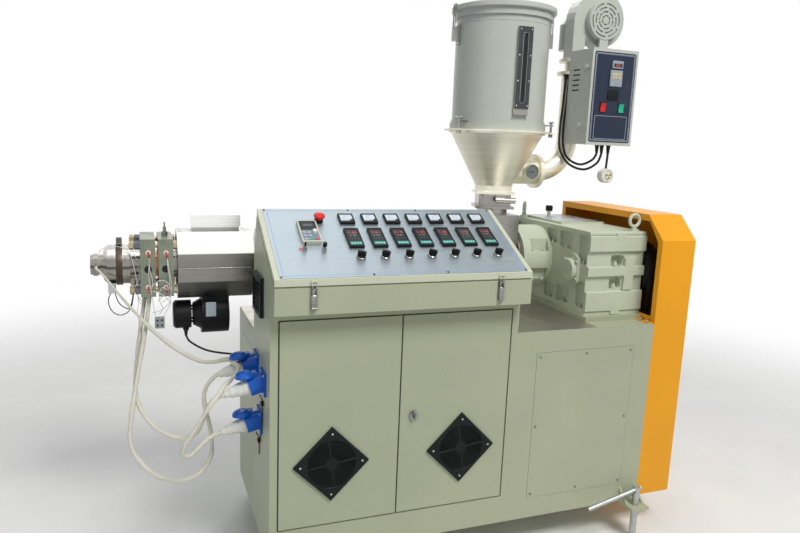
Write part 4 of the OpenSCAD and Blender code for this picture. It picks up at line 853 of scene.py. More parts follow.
def digits(number, height):
    """Seven bars for each figure, in mm and lying flat: three across and four upright."""
    w, bars = height * 0.5, []
    for i, figure in enumerate(number):
        left = (i - (len(number) - 1) / 2) * height * 0.78
        for bar in SEGMENTS[int(figure)]:
            x, y, upright = BARS[bar]
            long, thick = 0.42 * height, 0.12 * height
            across, up = (thick, long) if upright else (long, thick)
            middle = np.array([left + x * w / 2, y * height / 2, 0]) * MM
            bars.append(set_down(plate(across, up, 0.25, 0.2, 0.08, 2), middle))
    return join(bars)


print("four figures take", len(digits("0000", 10)[1]), "faces")

# %% [markdown]
# ### Meters
# A moving-coil meter is a white card under a clear front, with a fan of scale marks and a thin
# needle. The coil sits behind a black quarter round in the lower right corner, with the screw
# that sets its zero. The marks are thin slabs on a circle round that corner. A picture of the
# card would be quicker to make, but slabs stay sharp however close the camera comes.

# %% Meter faces
METER_UP = 295
CARD_OUT, PRINT_OUT = FACE + 7.0, FACE + 7.5
SCALE_RADIUS = 28
SCALE_ANGLES = np.linspace(98, 172, 13)
NEEDLE_ANGLE = 170

quarter_arc = np.linspace(math.pi / 2, math.pi, 9)
quarter = [(0, 0)] + [(10 * math.cos(b), 10 * math.sin(b)) for b in quarter_arc]
quarter_points = np.array([(px * MM, py * MM, z) for z in (0, 1.1 * MM) for px, py in quarter])
n = len(quarter)
quarter_faces = sheet_faces(2, n).tolist() + [list(range(n - 1, -1, -1)), list(range(n, 2 * n))]


def round_pivot(shape, x, radius, out, angle):
    """Sets a mark on a circle round the needle's pivot, pointing away from it."""
    a = math.radians(angle)
    return on_panel(shape, x + 15 + radius * math.cos(a), METER_UP - 12 + radius * math.sin(a),
                    out, angle)


cards, marks, quarters, zero_screws = [], [], [], []
for x in ZONES:
    cards.append(on_panel(plate(41, 35, 0.5, 1.0, 0.15), x, METER_UP, CARD_OUT))
    for k, angle in enumerate(SCALE_ANGLES):
        long = 4.2 if k % 3 == 0 else 2.2
        mark = plate(long, 0.5, 0.12, 0.2, 0.04, 2)
        marks.append(round_pivot(mark, x, SCALE_RADIUS - long / 2, PRINT_OUT, angle))
    needle = plate(19, 0.55, 0.2, 0.2, 0.04, 2)
    marks.append(round_pivot(needle, x, 14, PRINT_OUT + 0.3, NEEDLE_ANGLE))
    corner = (quarter_points, quarter_faces)
    quarters.append(on_panel(corner, x + 20, METER_UP - 17, PRINT_OUT))
    screw = mm([(0, 0), (2.2, 0), (2.2, 0.7), (1.7, 1.1), (0, 1.1)], 16)
    zero_screws.append(on_panel(screw, x + 15.5, METER_UP - 13, PRINT_OUT + 1.1))
on_lid("meter_cards", cards, "white_plastic", "dial_white")
on_lid("meter_marks", marks, "black_plastic")
on_lid("meter_quarters", quarters, "black_plastic")
on_lid("meter_zero_screws", zero_screws, "bright_metal")
print(len(cards), "meter faces,", len(marks), "marks")

# %% [markdown]
# ### Controllers
# A temperature controller shows the measured value in red above the set value, has a few lamps
# round them, and a coloured strip of keys along its foot. Its front is one smoky window. The
# figures could be text in a font, but seven bars that light up are what the real display has.

# %% Controller fronts
CONTROLLER_UP = 188
WINDOW_OUT = FACE + 7.5
SHOWN_OUT = WINDOW_OUT + 0.6
READINGS = [(182, 180), (181, 180), (179, 180), (185, 185), (186, 185), (190, 190), (192, 190)]

fronts, reds, dims, strips, keys, small_lamps = [], [], [], [], [], []
for x, (value, wanted) in zip(ZONES, READINGS):
    s = CONTROLLER_UP
    fronts.append(on_panel(plate(39.4, 79.4, 0.6, 1.2, 0.2), x, s, WINDOW_OUT))
    reds.append(on_panel(digits(f"{value:04d}", 9.5), x, s + 24, SHOWN_OUT))
    dims.append(on_panel(digits(f"{wanted:04d}", 7.0), x, s + 9, SHOWN_OUT))
    strips.append(on_panel(plate(38.6, 15, 0.35, 0.8, 0.12), x, s - 31.5, SHOWN_OUT))
    for k in range(4):
        place = x - 13.5 + 9 * k
        keys.append(on_panel(plate(5.2, 6.5, 0.5, 1.2, 0.15), place, s - 32, SHOWN_OUT + 0.35))
        for row in (-6, 36):
            window = plate(2.6, 1.5, 0.3, 0.4, 0.1, 3)
            small_lamps.append(on_panel(window, place, s + row, SHOWN_OUT))
on_lid("controller_fronts", fronts, "black_plastic", "display_dark")
on_lid("controller_red_digits", reds, "red_plastic", "red_digits")
on_lid("controller_dim_digits", dims, "white_plastic", "dim_digits")
on_lid("controller_strips", strips, "blue_plastic", "teal_strip")
on_lid("controller_keys", keys, "white_plastic", "pale_key")
on_lid("controller_lamps", small_lamps, "white_plastic", "dim_digits")
print(len(fronts), "controller fronts")

# %% [markdown]
# ### Selector switches
# Each selector is a chromed collar with a tall black lever across it. The lever is a slab stood
# on the collar, with a pale line on its top that shows where it points. They are turned to
# slightly different angles, because seven levers in perfect line would look drawn.

# %% Selector collars and levers
SELECTOR_UP = 92
LEVER_TURNS = (-14, -14, -12, -16, -14, -15, -13)
COLLAR = [(11.8, 0), (15.2, 0), (15.2, 3), (14.2, 6.6), (12.6, 7.4), (11.8, 6.8), (11.8, 0)]

collars, levers, lines = [], [], []
for x, turn in zip(ZONES, LEVER_TURNS):
    s, a = SELECTOR_UP, math.radians(turn)
    collars.append(on_panel(mm(COLLAR, 40), x, s, FACE))
    levers.append(on_panel(plate(27, 8.6, 14.5, 3.0, 1.0, 6), x, s, FACE + 11.5, turn))
    pale = plate(1.0, 8.0, 0.2, 0.3, 0.05, 2)
    lines.append(on_panel(pale, x + 10 * math.cos(a), s + 10 * math.sin(a), FACE + 26, turn))
on_lid("selector_collars", collars, "bright_metal")
on_lid("selector_levers", levers, "black_plastic")
on_lid("selector_lines", lines, "white_plastic")
print(len(levers), "levers")

# %% [markdown]
# ### Keypad, lamp and printed border
# The drive's keypad sits in a cream frame: a dark window above, a grey-blue field with small keys
# below, a round setting knob, and green and red keys to start and stop. A thin blue line is
# printed round the whole plate, and small dark screws hold its edge. Everything on the keypad
# is placed from its middle, so that it stays together when the keypad moves.

# %% Keypad and lamp
KEYPAD_X, KEYPAD_UP, KEYPAD_OUT = 143, 221, FACE + 9
TOGGLES = (113, 174)
TOGGLE_UP = 137


def on_keypad(shape, x, s, n=0.0):
    """Sets a shape at x across and s up from the keypad's middle, n over its bed."""
    return on_panel(shape, KEYPAD_X + x, KEYPAD_UP + s, KEYPAD_OUT + n)


on_lid("keypad_window", on_keypad(plate(52, 46, 1.6, 1, 0.3), 0, 28.5), "black_plastic",
       "display_dark")
on_lid("keypad_digits", on_keypad(digits("0000", 10), 0, 30, 1.6), "white_plastic", "dim_digits")
on_lid("keypad_field", on_keypad(plate(52, 56, 1.2, 1, 0.3), 0, -23), "blue_plastic",
       "key_field")
key = plate(10.5, 8.5, 1.4, 2, 0.4)
small = [on_keypad(key, -17 + 15.5 * c, -9 - 17 * r, 1.2) for c in range(2) for r in range(3)]
on_lid("keypad_keys", small, "white_plastic", "key_grey")
knob = mm([(0, 0), (8, 0), (7.6, 9), (6.6, 10.5), (0, 11)])
on_lid("keypad_knob", on_keypad(knob, 15, -10, 1.2), "white_plastic")
wide_key = plate(12, 8.5, 1.5, 2, 0.4)
on_lid("keypad_green_key", on_keypad(wide_key, 0.5, -43, 1.2), "blue_plastic", "green_key")
on_lid("keypad_red_key", on_keypad(wide_key, 16.5, -43, 1.2), "red_plastic", "red_key")
bulb = mm([(0, 0), (4.4, 0), (4.4, 2), (3.4, 4.2), (1.6, 5.2), (0, 5.4)], 24)
on_lid("small_lamp", on_panel(bulb, 101, 141, FACE), "red_plastic", "red_digits")
knurled = mm([(0, 0), (6.4, 0), (6.8, 2), (6.8, 11), (5.6, 13), (0, 13.4)], 24)
lever = mm([(0, 0), (2.6, 0), (3.4, 12), (2.6, 14), (0, 14.6)], 20)
caps = [on_panel(knurled, TOGGLES[1], TOGGLE_UP, FACE + 13),
        on_panel(lever, TOGGLES[0], TOGGLE_UP, FACE + 15)]
on_lid("toggle_caps", caps, "black_plastic")
print("keypad with", len(small), "small keys")

# %% Printed border and the plate's screws
CABINET_WIDE = 845
MIDDLE = CABINET_WIDE / 2
PLATE_SIDE, PLATE_FOOT, PLATE_HIGH = 16, 4, 350
LINE_IN, LINE_WIDE = 12, 1.6

across = plate(CABINET_WIDE - 2 * (PLATE_SIDE + LINE_IN), LINE_WIDE, 0.15, 0.5, 0.05, 2)
upright = plate(LINE_WIDE, PLATE_HIGH - 20, 0.15, 0.5, 0.05, 2)
border = [on_panel(across, MIDDLE, s, FACE) for s in (PLATE_FOOT + 11, PLATE_FOOT + PLATE_HIGH - 9)]
border += [on_panel(upright, x, PLATE_FOOT + PLATE_HIGH / 2 + 1, FACE)
           for x in (PLATE_SIDE + LINE_IN, CABINET_WIDE - PLATE_SIDE - LINE_IN)]
on_lid("panel_border", border, "blue_plastic", "blue_line")
low_screw = mm([(0, 0), (3.4, 0), (3.0, 1.2), (1.6, 1.9), (0, 2.0)], 20)
pans = [on_panel(low_screw, x, s, FACE) for x in (21, 301, 545, 824) for s in (11, 349)]
on_lid("panel_screws", pans, "black_plastic")
print("border and", len(pans), "screws")

# %% [markdown]
# ### Stop button, keypad housing and toggles
# The solids give these their size and place. Here they get their own forms and colours: a
# mushroom button that bulges over its dark collar, a cream housing with soft corners round the
# keypad's window, and two toggles on hexagonal nuts. The round ones are one profile each, turned
# about the way out of the panel, and a nut is the same with six sides.

# %% Mushroom, keypad housing, toggle nuts
def ring_frame(w, h, r, inner_w, inner_h, inner_r, t, ease=0.8):
    """A flat frame in mm: the loop over its outer side, face and inner side, between two
    outlines with round corners."""
    steps = 6
    outer, inside = outline(w, h, r, steps), outline(inner_w, inner_h, inner_r, steps)
    soft = outline(w - 2 * ease, h - 2 * ease, max(r - ease, 0.05), steps)
    soft_in = outline(inner_w + 1.2 * ease, inner_h + 1.2 * ease, inner_r + 0.6 * ease, steps)
    rings = [(outer, 0), (outer, t - ease), (soft, t),
             (soft_in, t), (inside, t - 0.6 * ease), (inside, 0)]
    return at_heights(rings) * MM, loop_faces(len(rings), len(outer))


STOP_X, STOP_UP = 187, 285

button = mm([(0, 10), (11, 10), (11, 16), (16, 18), (18, 20.5), (18, 23.5), (16.6, 26.2),
             (11, 27.6), (5, 28), (0, 28)], 48)
collar = mm([(0, 0), (14.5, 0), (14.5, 6), (13, 8), (10.5, 8.4), (10.2, 12), (0, 12)], 40)
stop = on_lid("stop_button", on_panel(button, STOP_X, STOP_UP, FACE), "red_plastic")
stop_base = on_lid("stop_collar", on_panel(collar, STOP_X, STOP_UP, FACE), "black_plastic")
housing = ring_frame(63, 114, 4, 52.6, 103.6, 2, 12, 1.6)
keypad = on_lid("keypad_housing", on_panel(housing, KEYPAD_X, KEYPAD_UP, FACE), "white_plastic",
                "cream_paint")
bed = plate(54, 105, 8.9, 2, 0.3)
keypad_bed = on_lid("keypad_bed", on_panel(bed, KEYPAD_X, KEYPAD_UP, FACE), "black_plastic")
hexagon = mm([(0, 0), (9, 0), (9, 3.6), (8, 4.6), (0, 4.6)], 6)
thread = mm([(0, 4), (5.6, 4), (5.6, 13), (4.4, 15.5), (0, 15.6)], 24)
bases = [on_panel(hexagon, x, TOGGLE_UP, FACE, 12) for x in TOGGLES]
bases += [on_panel(thread, x, TOGGLE_UP, FACE) for x in TOGGLES]
toggles = on_lid("toggle_bases", bases, "bright_metal")
for made in (stop, stop_base, keypad, keypad_bed, toggles):
    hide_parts("panel_controls")
print("stop button, keypad housing and toggles made")

# %% [markdown]
# ## Door fans
# Each door carries an ordinary square cabinet fan turned on its corner. The guard is a moulded
# frame with a dozen fine rings on four spokes and a plain hub. A mat of dark foam lies behind
# the rings. On the inside of the door are the fan's housing, its motor and seven curved blades.
# The rings are finer than a printed or cut solid needs to be, so they are made here and stand
# in for the plainer guard.

# %% Rings and pierced plates
def hoop(radius, section, n):
    """A closed profile of (out, up) in mm turned about Z at a radius: a ring with no ends."""
    a = np.linspace(0, 2 * math.pi, n, endpoint=False)
    out, up = (np.asarray(section, float).T * MM)[:, :, None]
    r = radius * MM + out + 0 * a
    points = np.stack([r * np.cos(a), r * np.sin(a), up + 0 * a], -1).reshape(-1, 3)
    return points, loop_faces(len(section), n)


def pierced(w, hole, t, ease=2.0):
    """A square plate with a round hole. At each angle the outer edge lies at half the width over
    the larger of cosine and sine, and the loop over edge, face, hole and back closes on itself."""
    n = 96
    a = np.linspace(0, 2 * math.pi, n, endpoint=False)
    square = np.maximum(abs(np.cos(a)), abs(np.sin(a)))
    soft_hole, bare_hole = np.full(n, hole / 2 + ease * 0.6), np.full(n, hole / 2)
    rings = [(w / 2 / square, 0), (w / 2 / square, t - ease), ((w / 2 - ease) / square, t),
             (soft_hole, t), (bare_hole, t - ease * 0.6), (bare_hole, 0)]
    points = [np.stack([r * np.cos(a), r * np.sin(a), np.full(n, z)], -1) * MM
              for r, z in rings]
    return np.concatenate(points), loop_faces(len(rings), n)


print("a ring has", len(hoop(20, [(0, 0), (1, 0), (1, 1)], 64)[1]), "faces")

# %% Guards, foam, housings and blades
FAN_UP = 441
FAN_FROM_MIDDLE = 226
RING_FIRST, RING_STEP, RING_COUNT = 25, 4.75, 12
RING_SECTION = [(-1.0, 4.6), (1.0, 4.6), (1.3, 6.6), (0.5, 7.8), (-0.5, 7.8), (-1.3, 6.6)]
BLADE_COUNT, BLADE_ROOT, BLADE_TIP, BLADE_THICK = 7, 27, 71, 1.6


def spoke(long, wide, thick, r, ease, back, degrees):
    """A bar whose middle lies 50 mm from the fan's axis, pointing outwards."""
    a = math.radians(degrees)
    outwards, sideways = (math.cos(a), math.sin(a), 0), (-math.sin(a), math.cos(a), 0)
    place = (50 * MM * outwards[0], 50 * MM * outwards[1], back * MM)
    return set_down(plate(long, wide, thick, r, ease), place, outwards, sideways)


def blade(k):
    """A sheet over the radius r and the share u across it. The angle grows with the radius and
    the height rises from one edge to the other; a copy below it gives the thickness."""
    rows, columns = 8, 7
    r = np.linspace(BLADE_ROOT, BLADE_TIP, rows)[:, None]
    u = np.linspace(-1, 1, columns)[None, :]
    a = 2 * math.pi * k / BLADE_COUNT + u * (0.36 - 0.0012 * r) + 0.012 * (r - BLADE_ROOT)
    z = -26 + 13 * u - 3 * u * u + 0 * r
    top = np.stack([r * np.cos(a), r * np.sin(a), z], -1)
    both = np.concatenate([top, (top - [0, 0, BLADE_THICK])[::-1]], 0).reshape(-1, 3) * MM
    last = 2 * rows - 1
    faces = sheet_faces(2 * rows, columns, False).tolist()
    faces += [[m, m + 1, last * columns + m + 1, last * columns + m] for m in range(columns - 1)]
    for i in range(rows - 1):
        left = [i, last - i, last - i - 1, i + 1]
        faces.append([row * columns for row in left])
        faces.append([row * columns + columns - 1 for row in left[::-1]])
    return both, faces


def fan(side, x):
    """One fan on the door of that side, round the point x across and FAN_UP above the floor."""

    def make(what, shapes, slot="black_plastic"):
        """Turns shapes onto their corner, sets them on the door and joins them."""
        placed = [at(shape, FRONT, x, 0.0, FAN_UP, 45) for shape in shapes]
        return piece("fan_" + what + "_" + side, join(placed), side + "_door", slot)

    rings = [hoop(RING_FIRST + RING_STEP * k, RING_SECTION, 72) for k in range(RING_COUNT)]
    spokes = [spoke(62, 6.5, 4.6, 1.5, 0.8, 3.6, degrees) for degrees in (53, 143, 233, 323)]
    hub = mm([(0, 3), (21.5, 3), (22, 4), (22, 7.2), (21, 8.4), (0, 8.6)], 40)
    screws = [set_down(pan_head(7), (72 * MM * i, 72 * MM * j, 8.6 * MM))
              for i in (-1, 1) for j in (-1, 1)]
    foam = mm([(0, 1), (79, 1), (79, 3.4), (0, 3.6)], 48)
    housing = set_down(pierced(158, 148, 47.5, 1.2), (0, 0, -47.8 * MM))
    can = mm([(0, 0), (27, 0), (28.5, 2), (28.5, 36), (27, 40), (0, 41)], 40)
    motor = set_down(can, (0, 0, -46 * MM))
    struts = [spoke(52, 7, 4, 1.5, 0.6, -47.5, degrees) for degrees in (10, 100, 190, 280)]

    guard = [make("frame", [pierced(176, 158, 8.9)]), make("rings", rings + spokes + [hub])]
    make("screws", screws, "galvanised_steel")
    guard.append(make("foam", [foam], "black_rubber"))
    guard.append(make("housing", [housing, motor] + struts))
    make("blades", [blade(k) for k in range(BLADE_COUNT)])
    for made in guard:
        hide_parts("fan_guard_" + side)


fan("left", MIDDLE - FAN_FROM_MIDDLE)
fan("right", MIDDLE + FAN_FROM_MIDDLE)
print("two fans made")

# %% [markdown]
# ## At the die
# The two clamp plates are heated by rods in their bores. A rod's two wires come out of a white
# ceramic bush with a red sleeve, run down the plate and join the cable below through a ceramic
# terminal block. These wires are single strands braided with glass, so they curl. A pale sensor
# wire lies over the top of the head, and the dark wires of its heater band loop under it. Each
# is a soft path through a few points, as the cords are, because wire never bends at a corner.

# %% Bushes and sleeves
PLATE_Y = 368
AXIS_Y, AXIS_Z = 463, 1018
BUSH = [(2.5, 0), (8, 0), (8.4, 1.5), (7.6, 4), (5, 5), (2.5, 5), (2.5, 0)]


def on_machine(name, shapes, slot, finish=None):
    """One or more placed shapes as a piece that stays with the machine."""
    shape = join(shapes) if isinstance(shapes, list) else shapes
    return piece(name, shape, "machine", slot, finish)


bushes, sleeves = [], []
for x, z in ((-330, 1070), (-275, 1069), (-332, 956), (-277, 954)):
    bushes.append(at(mm(BUSH, 24), FRONT, x, PLATE_Y, z))
    bend = [(x, PLATE_Y - 3, z + 2), (x, PLATE_Y - 8, z + 1), (x + 2, PLATE_Y - 9, z - 9),
            (x + 3, PLATE_Y - 7, z - 17)]
    sleeves.append(wire(bend, 5.2, 10, 2))
on_machine("rod_bushes", bushes, "white_plastic")
on_machine("rod_sleeves", sleeves, "red_plastic")
print(len(bushes), "bushes")

# %% Wires of the rods, the sensor and the heater band
glass = moulded("glass_braid", (0.74, 0.74, 0.71), rough=0.6, grime=0.3)
rod_wires = [
    [(-328, 360, 1054), (-328, 358, 1033), (-325, 357, 1006), (-319, 357, 985),
     (-320, 362, 960), (-326, 372, 930), (-330, 384, 905)],
    [(-327, 359, 1053), (-329, 356, 1020), (-330, 357, 990), (-324, 360, 955),
     (-322, 370, 925), (-318, 380, 900), (-316, 384, 877), (-311, 388, 853)],
    [(-272, 360, 1052), (-270, 357, 1016), (-266, 357, 982), (-267, 358, 958),
     (-276, 362, 940), (-290, 372, 920), (-301, 382, 905)],
    [(-271, 360, 1051), (-268, 356, 1020), (-262, 357, 985), (-261, 358, 950),
     (-264, 366, 918), (-264, 380, 895), (-275, 388, 871), (-284, 392, 852)],
    [(-329, 358, 946), (-324, 352, 958), (-308, 350, 974), (-292, 350, 981), (-276, 352, 975),
     (-266, 356, 960), (-262, 360, 940), (-268, 372, 918), (-290, 384, 900)],
    [(-329, 358, 944), (-309, 348, 944), (-288, 346, 932), (-272, 352, 916),
     (-267, 362, 903), (-282, 376, 884), (-300, 388, 869), (-322, 394, 862)],
    [(-274, 358, 945), (-282, 352, 955), (-290, 352, 956), (-297, 352, 945),
     (-300, 358, 925), (-294, 372, 896), (-287, 384, 880), (-299, 392, 857)],
    [(-384, 402, 1060), (-376, 398, 1030), (-370, 392, 995), (-366, 388, 965),
     (-365, 384, 926), (-358, 388, 900), (-348, 394, 885)],
    [(-374, 402, 1061), (-362, 394, 1038), (-358, 388, 1003), (-360, 384, 980),
     (-370, 384, 958), (-368, 388, 930), (-352, 394, 905)],
]
sensor_wires = [
    [(-480, 440, 1060), (-470, 426, 1076), (-445, 420, 1084), (-415, 420, 1082),
     (-392, 412, 1068), (-386, 404, 1058)],
    [(-365, 392, 920), (-364, 390, 891), (-367, 388, 864), (-362, 380, 800),
     (-372, 362, 720), (-388, 330, 640)],
    [(-334, 394, 880), (-338, 390, 850), (-352, 380, 790), (-370, 356, 700), (-392, 312, 600)],
]
band_wires = [
    [(-447, 425, 930), (-455, 420, 909), (-453, 416, 886), (-441, 412, 866), (-420, 410, 856),
     (-399, 410, 864), (-386, 408, 883), (-381, 404, 906), (-376, 400, 940), (-372, 398, 968)],
    [(-435, 425, 930), (-426, 420, 900), (-409, 414, 882), (-392, 410, 878),
     (-384, 406, 900), (-378, 402, 935)],
]
on_machine("rod_wires", [wire(r, 2.2, 6, 5) for r in rod_wires], "cream_sleeve", glass)
on_machine("sensor_wires", [wire(r, 1.8, 6, 6) for r in sensor_wires], "galvanised_steel", glass)
on_machine("heater_band_wires", [wire(r, 3.2, 8, 5) for r in band_wires], "black_rubber")
print(len(rod_wires), "glass wires and", len(band_wires), "rubber ones")

# %% Terminal block, painted shade in the holes, and washer
BLOCK_X, BLOCK_FACE, BLOCK_Z = -298.5, 385.2, 829

band_box = plate(24, 20, 34, 2.0, 1.0)
on_machine("heater_band_box", at(band_box, TOP, -443, 425, 929), "galvanised_steel")
ceramic = moulded("grey_ceramic", (0.30, 0.33, 0.34), rough=0.45, grime=0.5)
block = plate(31, 38, 14, 3.0, 1.2)
on_machine("terminal_block", at(block, FRONT, BLOCK_X, 399, BLOCK_Z), "white_plastic", ceramic)
# Painted shade: black discs in the block's four holes and in the two bores of the clamp plates
# stand for the dark inside of the holes.
holes = [at(disc(3.6, 0.5, 0.55, 16), FRONT, BLOCK_X + 14 * i, BLOCK_FACE, BLOCK_Z + 17 * j)
         for i in (-0.5, 0.5) for j in (-0.5, 0.5)]
holes += [at(disc(12, 0.4, 0.45, 28), FRONT, x, 367.9, z) for x, z in ((-331, 1014), (-277, 1015))]
on_machine("painted_shade_holes", holes, "black_rubber")
copper = brushed("copper_band", (0.72, 0.34, 0.20))
washer = mm([(34, 0), (45, 0), (45, 8), (34, 8), (34, 0)], 48)
on_machine("copper_washer", at(washer, LEFT, -299.8, AXIS_Y, AXIS_Z), "machined_steel", copper)
print(len(holes), "dark holes")

# %% [markdown]
# ### The head's band, nuts and bolt ends
# The strap round the head is oiled nearly black. Its screw stands on top, beside the nuts of the
# bolts that draw the clamp plates together, whose ends are straw-coloured from the heat. The
# solids under them are true in size, and these thin skins only bring the other metals.

# %% Band, screw and bolt ends
strap = mm([(69.2, 0), (69.4, 1), (69.4, 19), (69.2, 20), (66, 20), (66, 0), (69.2, 0)], 64)
on_machine("head_band", at(strap, LEFT, -409, AXIS_Y, AXIS_Z), "machined_steel",
           finishes["strap_steel"])
strap_screw = mm([(0, 10), (4.4, 9.4), (7.2, 7), (8, 3), (8, 0), (0, 0)], 24)
on_machine("band_screw", at(strap_screw, TOP, -418, AXIS_Y, 1086), "black_rubber")
bolt_end = mm([(0, 2.4), (3, 2.4), (7.6, 1.6), (8.6, 0), (0, 0)], 24)
ends = [at(bolt_end, LEFT, -386.8, y, z) for y in (389, 537) for z in (944, 1092)]
on_machine("bolt_ends", ends, "machined_steel", finishes["brassy_steel"])
drum_plate = plate(34, 50, 1.2, 2.0, 0.4)
on_machine("drum_plate", at(drum_plate, FRONT, -132, 392, 866), "aluminium_plate")
print(len(ends), "bolt ends")

# %% [markdown]
# ## Wires at the sockets
# From two of the plugs a thin black control wire runs down the side sheet, held by a clip. Each
# of the three cables has a short gland where it enters the plug's tail. A gland is one turned
# profile, and it stands on the plug's own axis, which leans down by 15 degrees.

# %% Socket glands, screws and clips
SOCKETS = [(235, 716), (95, 697), (163, 546)]
SOCKET_FACE = -8
PLUG_LONG = 14 + 96
lean = math.radians(15)
PLUG_AXIS = np.array([-math.cos(lean), 0, -math.sin(lean)])
PLUG_RISE = np.array([-math.sin(lean), 0, math.cos(lean)])
GLAND = [(0, -4), (9, -4), (11.8, -2), (12.2, 5), (10.6, 9), (8.0, 11), (7.4, 12), (0, 12)]

glands, flange_screws = [], []
for y, z in SOCKETS:
    tail = spot(SOCKET_FACE, y, z) + PLUG_AXIS * PLUG_LONG * MM
    glands.append(set_down(mm(GLAND, 28), tail, (0, -1, 0), PLUG_RISE))
    flange_screws += [at(pan_head(8), LEFT, SOCKET_FACE, y + i * 29, z + j * 29)
                      for i in (-1, 1) for j in (-1, 1)]
on_machine("plug_glands", glands, "white_plastic")
on_machine("socket_screws", flange_screws, "galvanised_steel")
clip = plate(20, 12, 9, 2.0, 1.0)
clips = [at(clip, LEFT, 0, y, z) for y, z in ((111, 620), (171, 470))]
on_machine("wire_clips", clips, "black_plastic")
control_routes = [
    [(-14, 95, 655), (-10, 103, 648), (-6, 110, 636), (-3, 112, 622), (-3, 112, 560),
     (-3, 128, 520), (-4, 150, 490), (-3, 170, 474)],
    [(-14, 163, 504), (-12, 168, 496), (-6, 171, 486), (-3, 172, 472), (-3, 172, 420)],
]
on_machine("control_wires", [wire(r, 3.6, 8, 5) for r in control_routes], "black_rubber")
print(len(flange_screws), "flange screws")

# %% [markdown]
# ## Screws, bolts and small plates
# Cover panels are held by small dark screws and the hood by a few along its seams. In the
# gearbox's pockets stand the nuts of the bolts that hold its halves together. These fittings are
# what the eye measures a machine by, so they sit where such a machine has them. One head is
# worked out once, set down in many places and joined into a single piece.

# %% Screws on the covers and the hood
COVER_LEFT, COVER_MIDDLE, COVER_RIGHT = 942, 1134, 1326
COVER_LOW, COVER_HALF, COVER_HIGH = 221, 479, 737

cover_places = [(x, z) for x in (COVER_LEFT, COVER_MIDDLE, COVER_RIGHT)
                for z in (COVER_LOW, COVER_HIGH)]
cover_places += [(COVER_LEFT, COVER_HALF), (COVER_RIGHT, COVER_HALF)]
cover_screws = [at(pan_head(9), FRONT, x, -0.4, z) for x, z in cover_places]
on_machine("cover_screws", cover_screws, "zinc_steel")
bead = soft_path([spot(x, 347.6, 1017.5) for x in (-237, -150, -70, -4)], 8 * MM)[0]
on_machine("hood_bead", along(bead, 1.9 * MM, 10), "bright_metal")
hood_screws = [at(pan_head(8), TOP, x, AXIS_Y + y, 1131) for x in (-228, -12) for y in (-36, 36)]
on_machine("hood_screws", hood_screws, "galvanised_steel")
print("screws:", len(cover_screws) + len(hood_screws))

# %% Nuts, bolts and plates on the gearbox
GEAR_X, GEAR_Y, GEAR_Z, GEAR_TOP = 1183, 99, 845, 1159
POCKETS = [(14, 75, 190), (112, 203, 232), (214, 291, 244), (14, 75, 24), (112, 203, 24),
           (214, 291, 24), (438, 531, 190), (438, 531, 24)]
BEARING_Y, BEARING_Z, BEARING_RADIUS = 195, 1008, 51
SMALL_END = [(0, 0), (3.4, 0), (3.4, 4.5), (2.6, 5.5), (0, 5.5)]
LARGE_END = [(0, 0), (5, 0), (5, 6), (4, 7.5), (0, 7.5)]


def stud(nut_wide, nut_high, end, x, y, z):
    """A nut, with the end of its bolt standing out of it."""
    nut = at(hex_head(nut_wide, nut_high), TOP, x, y, z)
    return [nut, at(mm(end, 16), TOP, x, y, z + nut_high)]


nuts = []
for y0, y1, z in POCKETS:
    nuts += stud(12, 7, SMALL_END, GEAR_X + 7, GEAR_Y + (y0 + y1) / 2, GEAR_Z + z)
for z in (183, 98):
    nuts += stud(17, 10, LARGE_END, GEAR_X + 132, GEAR_Y + 20, GEAR_Z + z + 1)
cap_screw = mm([(0, 0), (5.5, 0), (5.5, 5), (4.8, 6), (2.6, 6), (2.6, 3.5), (0, 3.5)], 20)
for a in np.radians((40, 140, 220, 310)):
    nuts.append(at(cap_screw, LEFT, GEAR_X - 12, BEARING_Y + BEARING_RADIUS * math.cos(a),
                   BEARING_Z + BEARING_RADIUS * math.sin(a)))
nuts += [at(hex_head(15, 9), TOP, x, 357, z) for x in (1104, 1152) for z in (1051, 935)]
on_machine("gearbox_nuts", nuts, "cast_green")
top_plate = plate(196, 282, 1.4, 6, 0.4)
on_machine("gearbox_top_plate", at(top_plate, TOP, 1318, 489, GEAR_TOP + 8), "galvanised_steel")
cap = mm([(0, 0), (13, 0), (15, 2), (15, 20), (13.5, 22), (0, 22)], 12)
on_machine("oil_cap", at(cap, TOP, GEAR_X + 112, GEAR_Y + 461, GEAR_TOP + 32), "black_plastic")
lip_bolts = [at(hex_head(16, 9), TOP, 1411, y, 831) for y in (24, 58)]
on_machine("guard_bolts", lip_bolts, "machined_steel")
print("nuts:", len(nuts))

# %% [markdown]
# ## On the hopper and its dryer
# A narrow window of clear plastic in a dark steel strip shows how full the hopper is. The stub
# that takes the hot air has a dial thermometer. The front of the dryer's control box is one dark
# blue plate with a pale line round it, a display, a small clock and two rocker switches. Dials
# and plates are layers a few tenths of a millimetre apart, so that no two faces coincide.

# %% Sight strip
dark_chrome = brushed("dark_chrome", (0.075, 0.080, 0.085), rough=0.18)
smoke = moulded("smoky_window", (0.015, 0.017, 0.020), rough=0.08, grime=0.1)
HOPPER_X, HOPPER_Y, HOPPER_RADIUS = 965, 463, 178.2
STRIP_TURN = math.radians(-2)
STRIP_OUT, STRIP_Z = 188.3, 1735
STRIP = ((math.cos(STRIP_TURN), math.sin(STRIP_TURN), 0), (0, 0, 1))


def on_strip(shape, across, up, out=0.0):
    """Sets a shape at so many mm across, up and out from the middle of the sight strip."""
    along_x, along_y, _ = STRIP[0]
    far = STRIP_OUT + out
    return at(shape, STRIP, HOPPER_X + far * along_y + across * along_x,
              HOPPER_Y - far * along_x + across * along_y, STRIP_Z + up)


